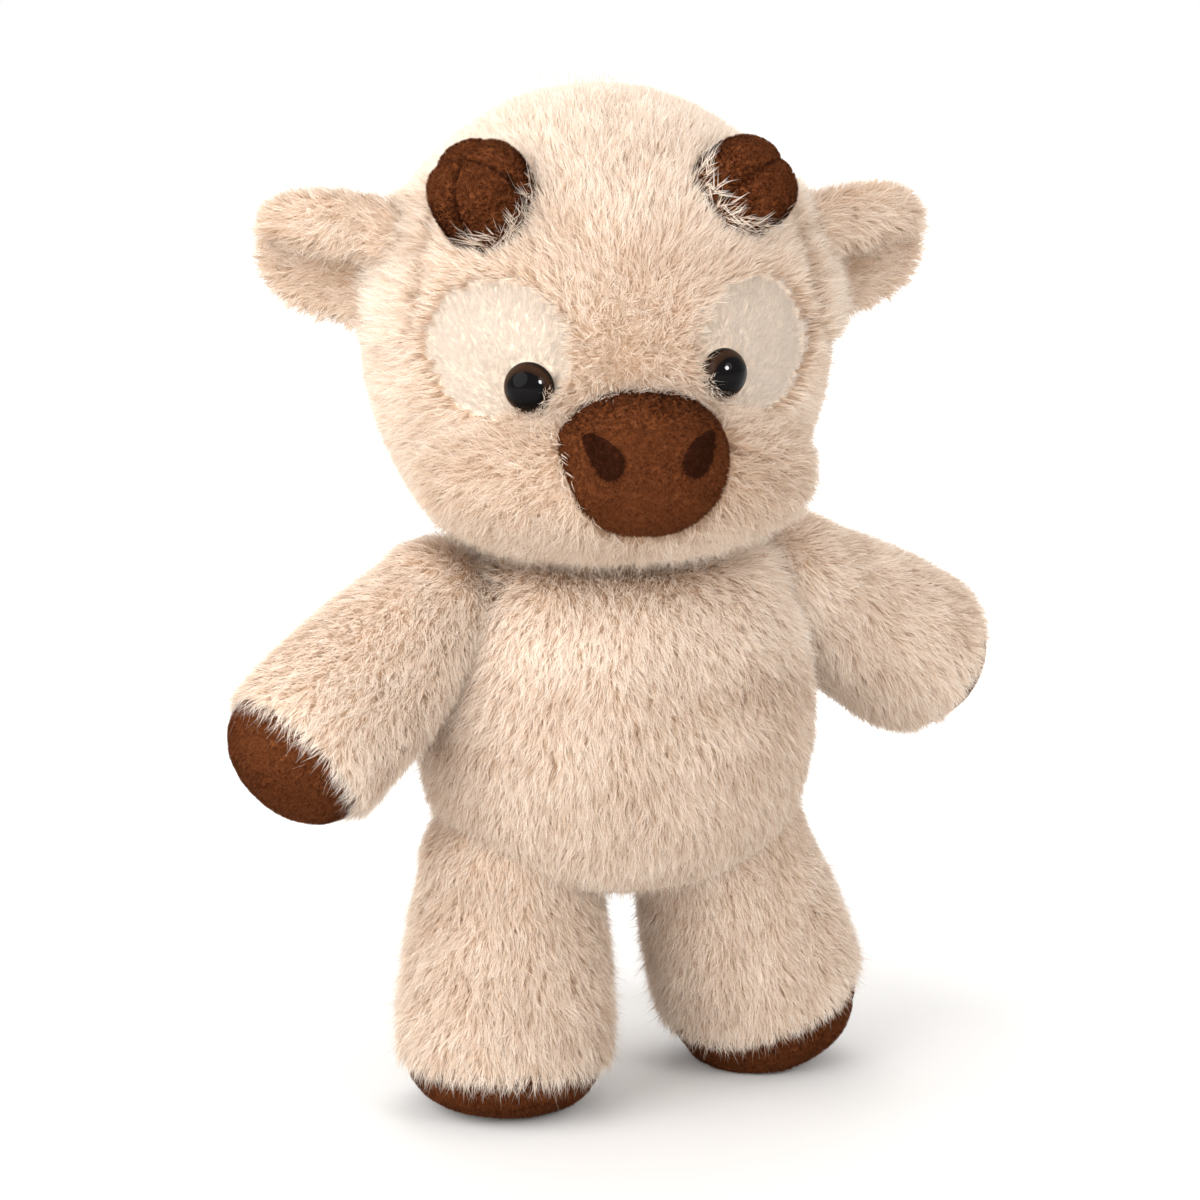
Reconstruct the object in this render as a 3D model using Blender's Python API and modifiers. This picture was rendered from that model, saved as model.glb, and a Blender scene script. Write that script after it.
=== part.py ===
"""Stuffed toy cow that stands on its hind feet, as separate sewn covers, stuffing and hard pieces.

Metres, +Z up. The toy faces -Y, its left is +X, and the floor is z = 0.
Each cover is an open shell, and its stuffing is a solid inside it. The head, ears, arms, legs and tail
hang from empties that stand on their joints.
"""

import math

import bmesh
import bpy
from mathutils import Euler, Matrix, Vector

SIDES = {"left": 1, "right": -1}

# Fabric, seams and clearances
SKIN_THICKNESS = 0.0022
SEAM_GAP = 0.0004
JOINT_GAP = 0.0009
OVERRUN = 0.02
MERGE_DISTANCE = 0.00001
SOLE_FLAT_DEPTH = 0.0020

# Trunk, whose outline runs from the bottom pole to the neck
TORSO_HALF_WIDTH = 0.0755
TORSO_HALF_DEPTH = 0.061
TORSO_HEIGHT = 0.130
NECK_RADIUS = 0.040
TORSO_OUTLINE_SHARES = (
    (0.0, 0.0),
    (0.34, 0.008),
    (0.61, 0.045),
    (0.81, 0.125),
    (0.925, 0.24),
    (0.985, 0.38),
    (1.0, 0.52),
    (0.965, 0.70),
    (0.875, 0.86),
    (0.74, 0.96),
)
TORSO_STEPS = 26

# Head, measured from its centre
HEAD_HALF_WIDTH = 0.0845
HEAD_HALF_DEPTH = 0.080
HEAD_UPPER_HEIGHT = 0.088
HEAD_LOWER_HEIGHT = 0.0835
HEAD_SIDE_SHIFT = -0.0085
HEAD_FORWARD_SHIFT = 0.004
HEAD_TURN_DEG = -14.0
HEAD_SEGMENTS = 26
HEAD_RINGS = 16
HEAD_INNER_SEGMENTS = 20
HEAD_INNER_RINGS = 12

# Muzzle, a wide soft bulge below the eyes
MUZZLE_HALF_WIDTH = 0.0705
MUZZLE_HALF_DEPTH = 0.056
MUZZLE_HALF_HEIGHT = 0.034
MUZZLE_FORWARD = 0.041
MUZZLE_DROP = 0.048
MUZZLE_SEAM_MARGIN = 0.0025
MUZZLE_SEGMENTS = 22
MUZZLE_RINGS = 12

# Nose pad and nostrils
NOSE_HALF_WIDTH = 0.0315
NOSE_HALF_DEPTH = 0.0265
NOSE_HALF_HEIGHT = 0.0262
NOSE_FULLNESS = 2.2
NOSE_SIDE_SHIFT = 0.0020
NOSE_FORWARD = 0.080
NOSE_DROP = 0.0385
NOSE_SEGMENTS = 20
NOSE_RINGS = 12
NOSTRIL_HALF_LENGTH = 0.0092
NOSTRIL_HALF_WIDTH = 0.0052
NOSTRIL_THICKNESS = 0.0009
NOSTRIL_SIDE = 0.0175
NOSTRIL_RISE = 0.0060
NOSTRIL_LEAN_DEG = 34.0
NOSTRIL_SEGMENTS = 12

# Eye patches
PATCH_HALF_WIDTH = 0.0285
PATCH_HALF_HEIGHT = 0.0255
PATCH_AZIMUTH_DEG = 35.0
PATCH_DROP = -0.0015
PATCH_SEGMENTS = 22

# Eyes with a stem, and the washers behind the cover
EYE_RADIUS = 0.0094
EYE_HEIGHT = 0.0078
EYE_STEM_RADIUS = 0.0024
EYE_STEM_LENGTH = 0.0125
EYE_AZIMUTH_DEG = {"left": 23.0, "right": 26.0}
EYE_DROP = {"left": 0.0078, "right": 0.0115}
EYE_STEPS = 16
EYE_DOME_POINTS = 5
WASHER_RADIUS = 0.0090
WASHER_THICKNESS = 0.0016
WASHER_SETBACK = 0.0050
POCKET_CLEARANCE = 0.0006

# Horns, each of four gores
HORN_RADIUS = 0.0190
HORN_LENGTH = 0.0340
HORN_ROOT_DEPTH = 0.012
HORN_BASE_SHARES = {"left": (0.3905, -0.5438, 0.5170), "right": (-0.5030, -0.5375, 0.4886)}
HORN_DIRECTION_SHARES = {"left": (0.69, -0.36, 0.63), "right": (-0.46, -0.48, 0.75)}
HORN_OUTLINE_SHARES = (
    (0.92, 0.0),
    (1.0, 0.36),
    (1.0, 0.62),
    (0.86, 0.84),
    (0.52, 0.965),
    (0.0, 1.0),
)
HORN_STEPS = 16
HORN_GORES = 4
HORN_GROOVE_SHARE = 0.06

# Ears, each of two thin panels
EAR_LENGTH = 0.045
EAR_HALF_WIDTH = 0.0225
EAR_PANEL_THICKNESS = 0.0020
EAR_CUP_DEPTH = 0.0095
EAR_PANEL_GAP = 0.0008
EAR_HEIGHT = 0.0280
EAR_AZIMUTH_DEG = 82.0
EAR_SWEEP_DEG = 24.0
EAR_LIFT_DEG = 6.0
EAR_ROOT_GAP = 0.0020
EAR_WIDTH_SHARES = (0.80, 0.94, 1.0, 0.94, 0.78, 0.52, 0.17)
EAR_ACROSS = 6

# Arms
SHOULDER_HEIGHT_SHARE = 0.86
SHOULDER_OUT = 0.0090
ARM_ROOT_RADIUS = 0.0230
ARM_END_RADIUS = 0.0298
ARM_LENGTH = {"left": 0.0958, "right": 0.0990}
ARM_CAP_DEPTH = 0.028
ARM_CAP_POWER = 2.3
ARM_HEM_DEG = {"left": 22.0, "right": 14.0}
ARM_STEPS = 16
ARM_DOWN_DEG = {"left": 31.0, "right": 39.0}
ARM_FORWARD_DEG = {"left": -6.0, "right": 10.0}

# Legs
HIP_HEIGHT = 0.0935
HIP_RISE = 0.007
HIP_HALF_SPACING = 0.0448
HIP_BACK = 0.0005
LEG_ROOT_RADIUS = 0.0360
LEG_END_RADIUS = 0.0382
LEG_CAP_DEPTH = 0.030
LEG_CAP_POWER = 2.8
LEG_HEM_DEG = {"left": 2.0, "right": 10.0}
LEG_STEPS = 18
LEG_SPLAY_DEG = {"left": 19.0, "right": 4.0}
LEG_FORWARD_DEG = {"left": -6.0, "right": 4.0}

# Turned limbs: how far the root ball goes round before the shaft begins
ARM_BALL_END_DEG = 126.0
LEG_BALL_END_DEG = 118.0
ROOT_BALL_POINTS = 5
SHAFT_POINTS = 3
CAP_ANGLES_DEG = (35.0, 55.0, 74.0, 90.0)
HEM_INDEX = ROOT_BALL_POINTS + SHAFT_POINTS + 1

# Tail, which hangs behind
TAIL_HEIGHT_SHARE = 0.30
TAIL_ROOT_RADIUS = 0.0045
TAIL_RADIUS = 0.0036
TAIL_LENGTH = 0.056
TAIL_TILT_DEG = 27.0
TAIL_STEPS = 12
TUFT_RADIUS = 0.0085
TUFT_LENGTH = 0.026
TUFT_OUTLINE_SHARES = (
    (0.42, 0.0),
    (0.82, 0.22),
    (1.0, 0.5),
    (0.72, 0.8),
    (0.3, 0.96),
    (0.0, 1.0),
)

CUTTER_SEGMENTS = 24
CUTTER_RINGS = 16

# Material looks: colour, roughness
LOOKS = {
    "long_pile": ((0.78, 0.60, 0.44), 0.9),
    "short_pile": ((0.92, 0.80, 0.66), 0.9),
    "brown_pile": ((0.17, 0.060, 0.026), 0.85),
    "dark_pile": ((0.06, 0.016, 0.006), 0.9),
    "eye_plastic": ((0.006, 0.004, 0.004), 0.08),
    "washer_plastic": ((0.75, 0.75, 0.72), 0.5),
    "stuffing": ((0.9, 0.9, 0.88), 0.95),
}


def clear_scene():
    for old in list(bpy.data.objects):
        bpy.data.objects.remove(old)


def make_collection(name):
    made = bpy.data.collections.new(name)
    bpy.context.scene.collection.children.link(made)
    return made


def make_material(name):
    colour, roughness = LOOKS[name]
    made = bpy.data.materials.new(name)
    made.use_nodes = True
    shader = made.node_tree.nodes["Principled BSDF"]
    shader.inputs["Base Color"].default_value = (*colour, 1.0)
    shader.inputs["Roughness"].default_value = roughness
    return made


clear_scene()
TOY = make_collection("plush_cow")
CUTTERS = make_collection("cutters")
MATERIALS = {name: make_material(name) for name in LOOKS}


def make_empty(name, location, parent=None, rotation=None):
    """An empty that stands on a joint."""
    made = bpy.data.objects.new(name, None)
    TOY.objects.link(made)
    made.parent = parent
    made.location = location
    if rotation is not None:
        made.rotation_mode = "QUATERNION"
        made.rotation_quaternion = rotation
    return made


def add_piece(name, mesh, look, parent=None, matrix=None):
    """A named piece of the toy in its material."""
    made = bpy.data.objects.new(name, mesh)
    mesh.materials.clear()
    mesh.materials.append(MATERIALS[look])
    mesh.shade_smooth()
    TOY.objects.link(made)
    made.parent = parent
    if matrix is not None:
        made.matrix_local = matrix
    return made


def add_cutter(name, mesh, parent=None, matrix=None):
    """A guide solid that only shapes others."""
    made = bpy.data.objects.new(name, mesh)
    CUTTERS.objects.link(made)
    made.hide_render = True
    made.display_type = "WIRE"
    made.parent = parent
    if matrix is not None:
        made.matrix_local = matrix
    return made


def boolean(target, operation, other):
    step = target.modifiers.new(operation.lower(), "BOOLEAN")
    step.operation = operation
    step.solver = "EXACT"
    step.object = other


def frozen(target):
    """The evaluated mesh of an object, in its own space."""
    bpy.context.view_layer.update()
    graph = bpy.context.evaluated_depsgraph_get()
    return bpy.data.meshes.new_from_object(target.evaluated_get(graph))


def freeze(target):
    """Turns an object's modifiers into its mesh."""
    mesh = frozen(target)
    target.modifiers.clear()
    target.data = mesh
    return target


def closed_mesh(name, build):
    """A mesh from bmesh steps, with its faces pointing out."""
    work = bmesh.new()
    build(work)
    bmesh.ops.recalc_face_normals(work, faces=work.faces)
    mesh = bpy.data.meshes.new(name)
    work.to_mesh(mesh)
    work.free()
    return mesh


def ball_mesh(name, radii, segments, rings, centre=(0.0, 0.0, 0.0)):
    """An ellipsoid."""

    def build(work):
        bmesh.ops.create_uvsphere(work, u_segments=segments, v_segments=rings, radius=1.0)
        bmesh.ops.scale(work, vec=radii, verts=work.verts)
        bmesh.ops.translate(work, vec=centre, verts=work.verts)

    return closed_mesh(name, build)


def rod_mesh(name, radius_x, radius_y, low, high, segments):
    """An elliptic rod along z, from low to high."""

    def build(work):
        bmesh.ops.create_cone(
            work,
            cap_ends=True,
            segments=segments,
            radius1=1.0,
            radius2=1.0,
            depth=1.0,
        )
        bmesh.ops.scale(work, vec=(radius_x, radius_y, high - low), verts=work.verts)
        bmesh.ops.translate(work, vec=(0.0, 0.0, (low + high) / 2), verts=work.verts)

    return closed_mesh(name, build)


def block_mesh(name, half_side, low, high):
    def build(work):
        bmesh.ops.create_cube(work, size=1.0)
        bmesh.ops.scale(work, vec=(2 * half_side, 2 * half_side, high - low), verts=work.verts)
        bmesh.ops.translate(work, vec=(0.0, 0.0, (low + high) / 2), verts=work.verts)

    return closed_mesh(name, build)


def turned_mesh(name, outline, steps):
    """A turned solid round z, from (radius, height) points.

    The points start and end on the axis, or close on themselves.
    """
    profile = bpy.data.meshes.new(name)
    points = [(radius, 0.0, height) for radius, height in outline]
    edges = [(i, i + 1) for i in range(len(points) - 1)]
    if outline[0][0] > 0.0 and outline[-1][0] > 0.0:
        edges.append((len(points) - 1, 0))
    profile.from_pydata(points, edges, [])
    holder = add_cutter(name + "_profile", profile)
    turn = holder.modifiers.new("turn", "SCREW")
    turn.steps = steps
    turn.render_steps = steps
    turn.use_merge_vertices = True
    turn.merge_threshold = MERGE_DISTANCE
    mesh = frozen(holder)
    bpy.data.objects.remove(holder)
    work = bmesh.new()
    work.from_mesh(mesh)
    bmesh.ops.remove_doubles(work, verts=work.verts, dist=MERGE_DISTANCE)
    bmesh.ops.recalc_face_normals(work, faces=work.faces)
    work.to_mesh(mesh)
    work.free()
    mesh.name = name
    return mesh


def inset(outline, distance):
    """An outline moved inwards, square to itself. Points on the axis stay on it."""
    moved = []
    inwards = math.copysign(distance, outline[-1][1] - outline[0][1])
    for i, (radius, height) in enumerate(outline):
        before = outline[max(i - 1, 0)]
        after = outline[min(i + 1, len(outline) - 1)]
        along = Vector((after[0] - before[0], after[1] - before[1]))
        if radius == 0.0:
            along = Vector((1.0 if i == 0 else -1.0, 0.0))
        along.normalize()
        new_radius = radius - along.y * inwards
        new_height = height + along.x * inwards
        moved.append((0.0 if radius == 0.0 else new_radius, new_height))
    return moved


def stepped_towards(start, end, distance):
    """The point that lies that distance from start on the way to end."""
    way = Vector(end) - Vector(start)
    return tuple(Vector(start) + way.normalized() * distance)


def shell_outline(outer, inner):
    """The closed outline of a shell, out along its outside and back along its inside."""
    return list(outer) + list(reversed(inner))


# Trunk


def torso_bottom():
    return HIP_HEIGHT - HIP_RISE


def neck_height():
    return torso_bottom() + TORSO_HEIGHT


def torso_outline():
    points = [(w * TORSO_HALF_WIDTH, h * TORSO_HEIGHT) for w, h in TORSO_OUTLINE_SHARES]
    return points + [(NECK_RADIUS, TORSO_HEIGHT)]


def torso_half_width_at(share):
    """The trunk's half width at a share of its height."""
    outline = torso_outline()
    height = share * TORSO_HEIGHT
    for (r0, h0), (r1, h1) in zip(outline, outline[1:]):
        if h0 <= height <= h1:
            return r0 + (r1 - r0) * (height - h0) / (h1 - h0)
    return outline[-1][0]


def capped(outline):
    """An outline that ends with a flat, closed to the axis, its top one seam gap lower."""
    radius, height = outline[-1]
    return outline[:-1] + [(radius, height - SEAM_GAP), (0.0, height - SEAM_GAP)]


def flat_topped(outline, height):
    """An outline whose last point is brought to the given height."""
    return outline[:-1] + [(outline[-1][0], height)]


def make_torso(sockets):
    """The trunk's cover and stuffing, cut by the balls of the limbs."""
    outer = torso_outline()
    inner = flat_topped(inset(outer, SKIN_THICKNESS), TORSO_HEIGHT)
    filled = flat_topped(inset(outer, SKIN_THICKNESS + SEAM_GAP), TORSO_HEIGHT)
    place = Matrix.Translation((0.0, 0.0, torso_bottom()))
    squeeze = Matrix.Diagonal((1.0, TORSO_HALF_DEPTH / TORSO_HALF_WIDTH, 1.0, 1.0))
    for name, outline, look in (
        ("torso_skin", shell_outline(outer, inner), "long_pile"),
        ("torso_fill", capped(filled), "stuffing"),
    ):
        mesh = turned_mesh(name, outline, TORSO_STEPS)
        mesh.transform(squeeze)
        piece = add_piece(name, mesh, look, matrix=place)
        for socket in sockets:
            boolean(piece, "DIFFERENCE", socket)


# Limbs


def cap_outline(end_radius, depth, power, start, hem_deg):
    """A rounded end below start, from its full radius past its hem to its pole."""
    points = []
    for degrees in (0.0, hem_deg, *CAP_ANGLES_DEG):
        turn = math.radians(degrees)
        radius = end_radius * max(math.cos(turn), 0.0) ** (2 / power)
        drop = depth * math.sin(turn) ** (2 / power)
        points.append((0.0 if degrees == CAP_ANGLES_DEG[-1] else radius, start - drop))
    return points


def root_ball_outline(radius, end_deg):
    """The top of a limb, a ball round its joint, from its pole to where the shaft begins."""
    points = []
    for i in range(ROOT_BALL_POINTS + 1):
        turn = math.radians(end_deg) * i / ROOT_BALL_POINTS
        points.append((radius * math.sin(turn), radius * math.cos(turn)))
    return points


def limb_outline(ball, end_radius, length, cap_depth, power, hem_deg):
    """The outline of a limb that hangs down -Z from the centre of its root ball."""
    points = list(ball)
    start_radius, start_height = points[-1]
    cap = cap_outline(end_radius, cap_depth, power, cap_depth - length, hem_deg)
    end_height = cap[0][1]
    for i in range(1, SHAFT_POINTS):
        share = i / SHAFT_POINTS
        swell = math.sin(share * math.pi / 2)
        radius = start_radius + (end_radius - start_radius) * swell
        points.append((radius, start_height + (end_height - start_height) * share))
    return points + cap


def split_at_hem(outline):
    """The cover's part and the cap's part of a limb outline, with a seam gap between."""
    cover = outline[: HEM_INDEX + 1]
    beyond = outline[HEM_INDEX + 1 :]
    return cover, [stepped_towards(cover[-1], beyond[0], SEAM_GAP)] + beyond


def make_limb(prefix, cap_name, side, parent, outline, steps):
    """A limb's cover, stuffing and end cap. Returns them."""
    inner = inset(outline, SKIN_THICKNESS)
    outer_cover, outer_cap = split_at_hem(outline)
    inner_cover, inner_cap = split_at_hem(inner)
    plans = (
        (f"{prefix}_skin_{side}", shell_outline(outer_cover, inner_cover), "long_pile"),
        (f"{cap_name}_{side}", shell_outline(outer_cap, inner_cap), "brown_pile"),
        (f"{prefix}_fill_{side}", inset(outline, SKIN_THICKNESS + SEAM_GAP), "stuffing"),
    )
    return [
        add_piece(name, turned_mesh(name, points, steps), look, parent)
        for name, points, look in plans
    ]


def make_socket(name, centre, radius):
    """The hollow that a limb's root ball turns in."""
    mesh = ball_mesh(name, (radius + JOINT_GAP,) * 3, CUTTER_SEGMENTS, CUTTER_RINGS)
    return add_cutter(name, mesh, matrix=Matrix.Translation(centre))


def arm_direction(side):
    down = math.radians(ARM_DOWN_DEG[side])
    forward = math.radians(ARM_FORWARD_DEG[side])
    out = SIDES[side] * math.cos(down) * math.cos(forward)
    return Vector((out, -math.sin(forward), -math.sin(down) * math.cos(forward)))


def shoulder_centre(side):
    out = torso_half_width_at(SHOULDER_HEIGHT_SHARE) + SHOULDER_OUT
    return Vector((SIDES[side] * out, 0.0, torso_bottom() + SHOULDER_HEIGHT_SHARE * TORSO_HEIGHT))


def make_arm(side):
    """One arm. Returns the hollow for its root."""
    centre = shoulder_centre(side)
    turn = arm_direction(side).to_track_quat("-Z", "Y")
    pivot = make_empty(f"shoulder_{side}", centre, rotation=turn)
    ball = root_ball_outline(ARM_ROOT_RADIUS, ARM_BALL_END_DEG)
    outline = limb_outline(
        ball, ARM_END_RADIUS, ARM_LENGTH[side], ARM_CAP_DEPTH, ARM_CAP_POWER, ARM_HEM_DEG[side]
    )
    make_limb("arm", "hand_hoof", side, pivot, outline, ARM_STEPS)
    return make_socket(f"shoulder_hollow_{side}", centre, ARM_ROOT_RADIUS)


def hip_centre(side):
    return Vector((SIDES[side] * HIP_HALF_SPACING, HIP_BACK, HIP_HEIGHT))


def leg_direction(side):
    splay = math.radians(LEG_SPLAY_DEG[side])
    forward = math.radians(LEG_FORWARD_DEG[side])
    out = SIDES[side] * math.sin(splay) * math.cos(forward)
    return Vector((out, -math.sin(forward), -math.cos(splay) * math.cos(forward)))


def leg_length(direction, hem_deg):
    """The length at which a leg's sole reaches just below the floor, before it is cut flat."""
    lean = math.acos(-direction.z)
    cap = cap_outline(LEG_END_RADIUS, LEG_CAP_DEPTH, LEG_CAP_POWER, LEG_CAP_DEPTH, hem_deg)
    reach = max(r * math.sin(lean) - h * math.cos(lean) for r, h in cap)
    return (HIP_HEIGHT + SOLE_FLAT_DEPTH - reach) / math.cos(lean)


def floor_block(name, top):
    """A guide block that reaches up to a height above the floor."""
    return add_cutter(name, block_mesh(name, 2 * TORSO_HEIGHT, -OVERRUN, top))


def make_leg(side):
    """One leg, its sole cut flat where it stands and as thick as its cover.

    Returns the hollow for its root.
    """
    centre = hip_centre(side)
    direction = leg_direction(side)
    pivot = make_empty(f"hip_{side}", centre, rotation=direction.to_track_quat("-Z", "Y"))
    hem_deg = LEG_HEM_DEG[side]
    length = leg_length(direction, hem_deg)
    ball = root_ball_outline(LEG_ROOT_RADIUS, LEG_BALL_END_DEG)
    outline = limb_outline(ball, LEG_END_RADIUS, length, LEG_CAP_DEPTH, LEG_CAP_POWER, hem_deg)
    _, cap, fill = make_limb("leg", "foot_hoof", side, pivot, outline, LEG_STEPS)
    name = f"sole_{side}"
    sole = add_cutter(name, turned_mesh(name, inset(outline, SKIN_THICKNESS / 2), LEG_STEPS), pivot)
    boolean(sole, "INTERSECT", floor_block(f"sole_layer_{side}", SKIN_THICKNESS))
    boolean(cap, "UNION", sole)
    boolean(cap, "DIFFERENCE", floor_block(f"below_floor_{side}", 0.0))
    boolean(fill, "DIFFERENCE", floor_block(f"below_filling_{side}", SKIN_THICKNESS + SEAM_GAP))
    return make_socket(f"hip_hollow_{side}", centre, LEG_ROOT_RADIUS)


def make_tail():
    """The tail and its tuft behind the trunk."""
    share = TAIL_HEIGHT_SHARE
    squeeze = TORSO_HALF_DEPTH / TORSO_HALF_WIDTH
    back = torso_half_width_at(share) * squeeze + TAIL_ROOT_RADIUS + SEAM_GAP
    centre = Vector((0.0, back, torso_bottom() + share * TORSO_HEIGHT))
    tilt = Euler((math.radians(TAIL_TILT_DEG), 0.0, 0.0)).to_quaternion()
    pivot = make_empty("tail_root", centre, rotation=tilt)
    points = root_ball_outline(TAIL_ROOT_RADIUS, ARM_BALL_END_DEG)
    points += [(TAIL_RADIUS, -TAIL_LENGTH / 2), (TAIL_RADIUS, -TAIL_LENGTH), (0.0, -TAIL_LENGTH)]
    add_piece("tail_tube", turned_mesh("tail_tube", points, TAIL_STEPS), "long_pile", pivot)
    start = -TAIL_LENGTH - SEAM_GAP
    tuft = [(0.0, start)]
    tuft += [(w * TUFT_RADIUS, start - h * TUFT_LENGTH) for w, h in TUFT_OUTLINE_SHARES]
    add_piece("tail_tuft", turned_mesh("tail_tuft", tuft, TAIL_STEPS), "long_pile", pivot)


# Head, in its own frame: origin on the neck axis at the neck seam


def head_centre():
    return Vector((HEAD_SIDE_SHIFT, -HEAD_FORWARD_SHIFT, HEAD_LOWER_HEIGHT))


def skull_radii(grow):
    """Half width, half depth, height above the centre and depth below it, grown by a distance."""
    full_lower = HEAD_LOWER_HEIGHT / math.sqrt(1.0 - (NECK_RADIUS / HEAD_HALF_WIDTH) ** 2)
    sizes = (HEAD_HALF_WIDTH, HEAD_HALF_DEPTH, HEAD_UPPER_HEIGHT, full_lower)
    return [size + grow for size in sizes]


def skull_mesh(name, grow, segments, rings):
    """The skull's egg, whose lower half is a little longer."""
    width, depth, upper, lower = skull_radii(grow)
    mesh = ball_mesh(name, (width, depth, upper), segments, rings)
    for vertex in mesh.vertices:
        if vertex.co.z < 0.0:
            vertex.co.z *= lower / upper
    mesh.transform(Matrix.Translation(head_centre()))
    return mesh


def muzzle_mesh(name, grow, segments, rings):
    radii = [size + grow for size in (MUZZLE_HALF_WIDTH, MUZZLE_HALF_DEPTH, MUZZLE_HALF_HEIGHT)]
    centre = head_centre() + Vector((0.0, -MUZZLE_FORWARD, -MUZZLE_DROP))
    return ball_mesh(name, radii, segments, rings, centre)


def head_form(name, grow, head, below_neck, fine):
    """Skull and muzzle as one solid, grown by a distance, and cut flat at the neck if asked."""
    segments, rings = (HEAD_SEGMENTS, HEAD_RINGS) if fine else (HEAD_INNER_SEGMENTS, HEAD_INNER_RINGS)
    form = add_cutter(name, skull_mesh(name, grow, segments, rings), head)
    bulge = add_cutter(
        name + "_muzzle", muzzle_mesh(name + "_muzzle", grow, MUZZLE_SEGMENTS, MUZZLE_RINGS), head
    )
    boolean(form, "UNION", bulge)
    if below_neck is not None:
        boolean(form, "DIFFERENCE", below_neck)
    freeze(form)
    bpy.data.objects.remove(bulge)
    return form


def skull_point(azimuth_deg, height):
    """A point on the skull and the way out there, from its azimuth and its height above the centre."""
    width, depth, upper, lower = skull_radii(0.0)
    tall = upper if height > 0.0 else lower
    share = math.sqrt(1.0 - (height / tall) ** 2)
    azimuth = math.radians(azimuth_deg)
    flat = Vector((math.sin(azimuth) * width * share, -math.cos(azimuth) * depth * share, height))
    out = Vector((flat.x / width**2, flat.y / depth**2, flat.z / tall**2)).normalized()
    return head_centre() + flat, out


def facing(point, out):
    """A placement whose +Z points out of the head and whose +Y points up."""
    return Matrix.Translation(point) @ out.to_track_quat("Z", "Y").to_matrix().to_4x4()


def make_eye(side, head, patch, fill):
    """One eye with its stem and washer, and their way through the patch and into the stuffing."""
    point, out = skull_point(SIDES[side] * EYE_AZIMUTH_DEG[side], -EYE_DROP[side])
    place = facing(point, out)
    dome = [
        (
            EYE_RADIUS * math.sin(math.pi / 2 * i / EYE_DOME_POINTS),
            SEAM_GAP + EYE_HEIGHT * math.cos(math.pi / 2 * i / EYE_DOME_POINTS),
        )
        for i in range(EYE_DOME_POINTS + 1)
    ]
    rim = SEAM_GAP
    stem = [(EYE_STEM_RADIUS, rim), (EYE_STEM_RADIUS, -EYE_STEM_LENGTH), (0.0, -EYE_STEM_LENGTH)]
    outline = dome[:-1] + [(EYE_RADIUS, rim)] + stem
    outline[0] = (0.0, outline[0][1])
    add_piece(f"eye_{side}", turned_mesh(f"eye_{side}", outline, EYE_STEPS), "eye_plastic", head, place)
    hole = EYE_STEM_RADIUS + SEAM_GAP
    top = -WASHER_SETBACK
    bottom = top - WASHER_THICKNESS
    ring = [(WASHER_RADIUS, top), (WASHER_RADIUS, bottom), (hole, bottom), (hole, top)]
    name = f"eye_washer_{side}"
    add_piece(name, turned_mesh(name, ring, EYE_STEPS), "washer_plastic", head, place)
    way = rod_mesh("stem_way", hole, hole, -EYE_STEM_LENGTH - POCKET_CLEARANCE, OVERRUN, EYE_STEPS)
    stem_way = add_cutter(f"stem_way_{side}", way, head, place)
    wide = WASHER_RADIUS + POCKET_CLEARANCE
    pocket = rod_mesh("washer_way", wide, wide, bottom - POCKET_CLEARANCE, OVERRUN, EYE_STEPS)
    washer_way = add_cutter(f"washer_way_{side}", pocket, head, place)
    boolean(patch, "DIFFERENCE", stem_way)
    boolean(fill, "DIFFERENCE", stem_way)
    boolean(fill, "DIFFERENCE", washer_way)


def patch_window(side, head, grow):
    """The round window of an eye patch, as a rod through the cover."""
    point, out = skull_point(SIDES[side] * PATCH_AZIMUTH_DEG, -PATCH_DROP)
    name = f"patch_window_{side}"
    half_width, half_height = PATCH_HALF_WIDTH + grow, PATCH_HALF_HEIGHT + grow
    mesh = rod_mesh(name, half_width, half_height, -2 * OVERRUN, OVERRUN, PATCH_SEGMENTS)
    return add_cutter(name, mesh, head, facing(point, out))


def make_head_covers(head, below_neck):
    """Head cover, muzzle cover and eye patches out of one shell, and the stuffing.

    Returns the patches and the stuffing.
    """
    shell = head_form("head_shell", 0.0, head, below_neck, True)
    hollow = head_form("head_hollow", -SKIN_THICKNESS, head, None, False)
    boolean(shell, "DIFFERENCE", hollow)
    freeze(shell)
    grown = MUZZLE_SEAM_MARGIN
    region = add_cutter(
        "muzzle_region", muzzle_mesh("muzzle_region", grown, MUZZLE_SEGMENTS, MUZZLE_RINGS), head
    )
    wider = add_cutter(
        "muzzle_beyond",
        muzzle_mesh("muzzle_beyond", grown + SEAM_GAP, MUZZLE_SEGMENTS, MUZZLE_RINGS),
        head,
    )
    muzzle = add_piece("muzzle_skin", shell.data.copy(), "long_pile", head)
    boolean(muzzle, "INTERSECT", region)
    rest = add_cutter("head_rest", shell.data.copy(), head)
    boolean(rest, "DIFFERENCE", wider)
    freeze(rest)
    skin = add_piece("head_skin", rest.data.copy(), "long_pile", head)
    patches = {}
    for side in SIDES:
        patch = add_piece(f"eye_patch_{side}", rest.data.copy(), "short_pile", head)
        boolean(patch, "INTERSECT", patch_window(side, head, 0.0))
        boolean(skin, "DIFFERENCE", patch_window(side, head, SEAM_GAP))
        patches[side] = patch
    filled = head_form("head_stuffing", -SKIN_THICKNESS - SEAM_GAP, head, below_neck, False)
    fill = add_piece("head_fill", filled.data.copy(), "stuffing", head)
    return patches, fill


def nose_centre():
    return head_centre() + Vector((NOSE_SIDE_SHIFT, -NOSE_FORWARD, -NOSE_DROP))


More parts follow.
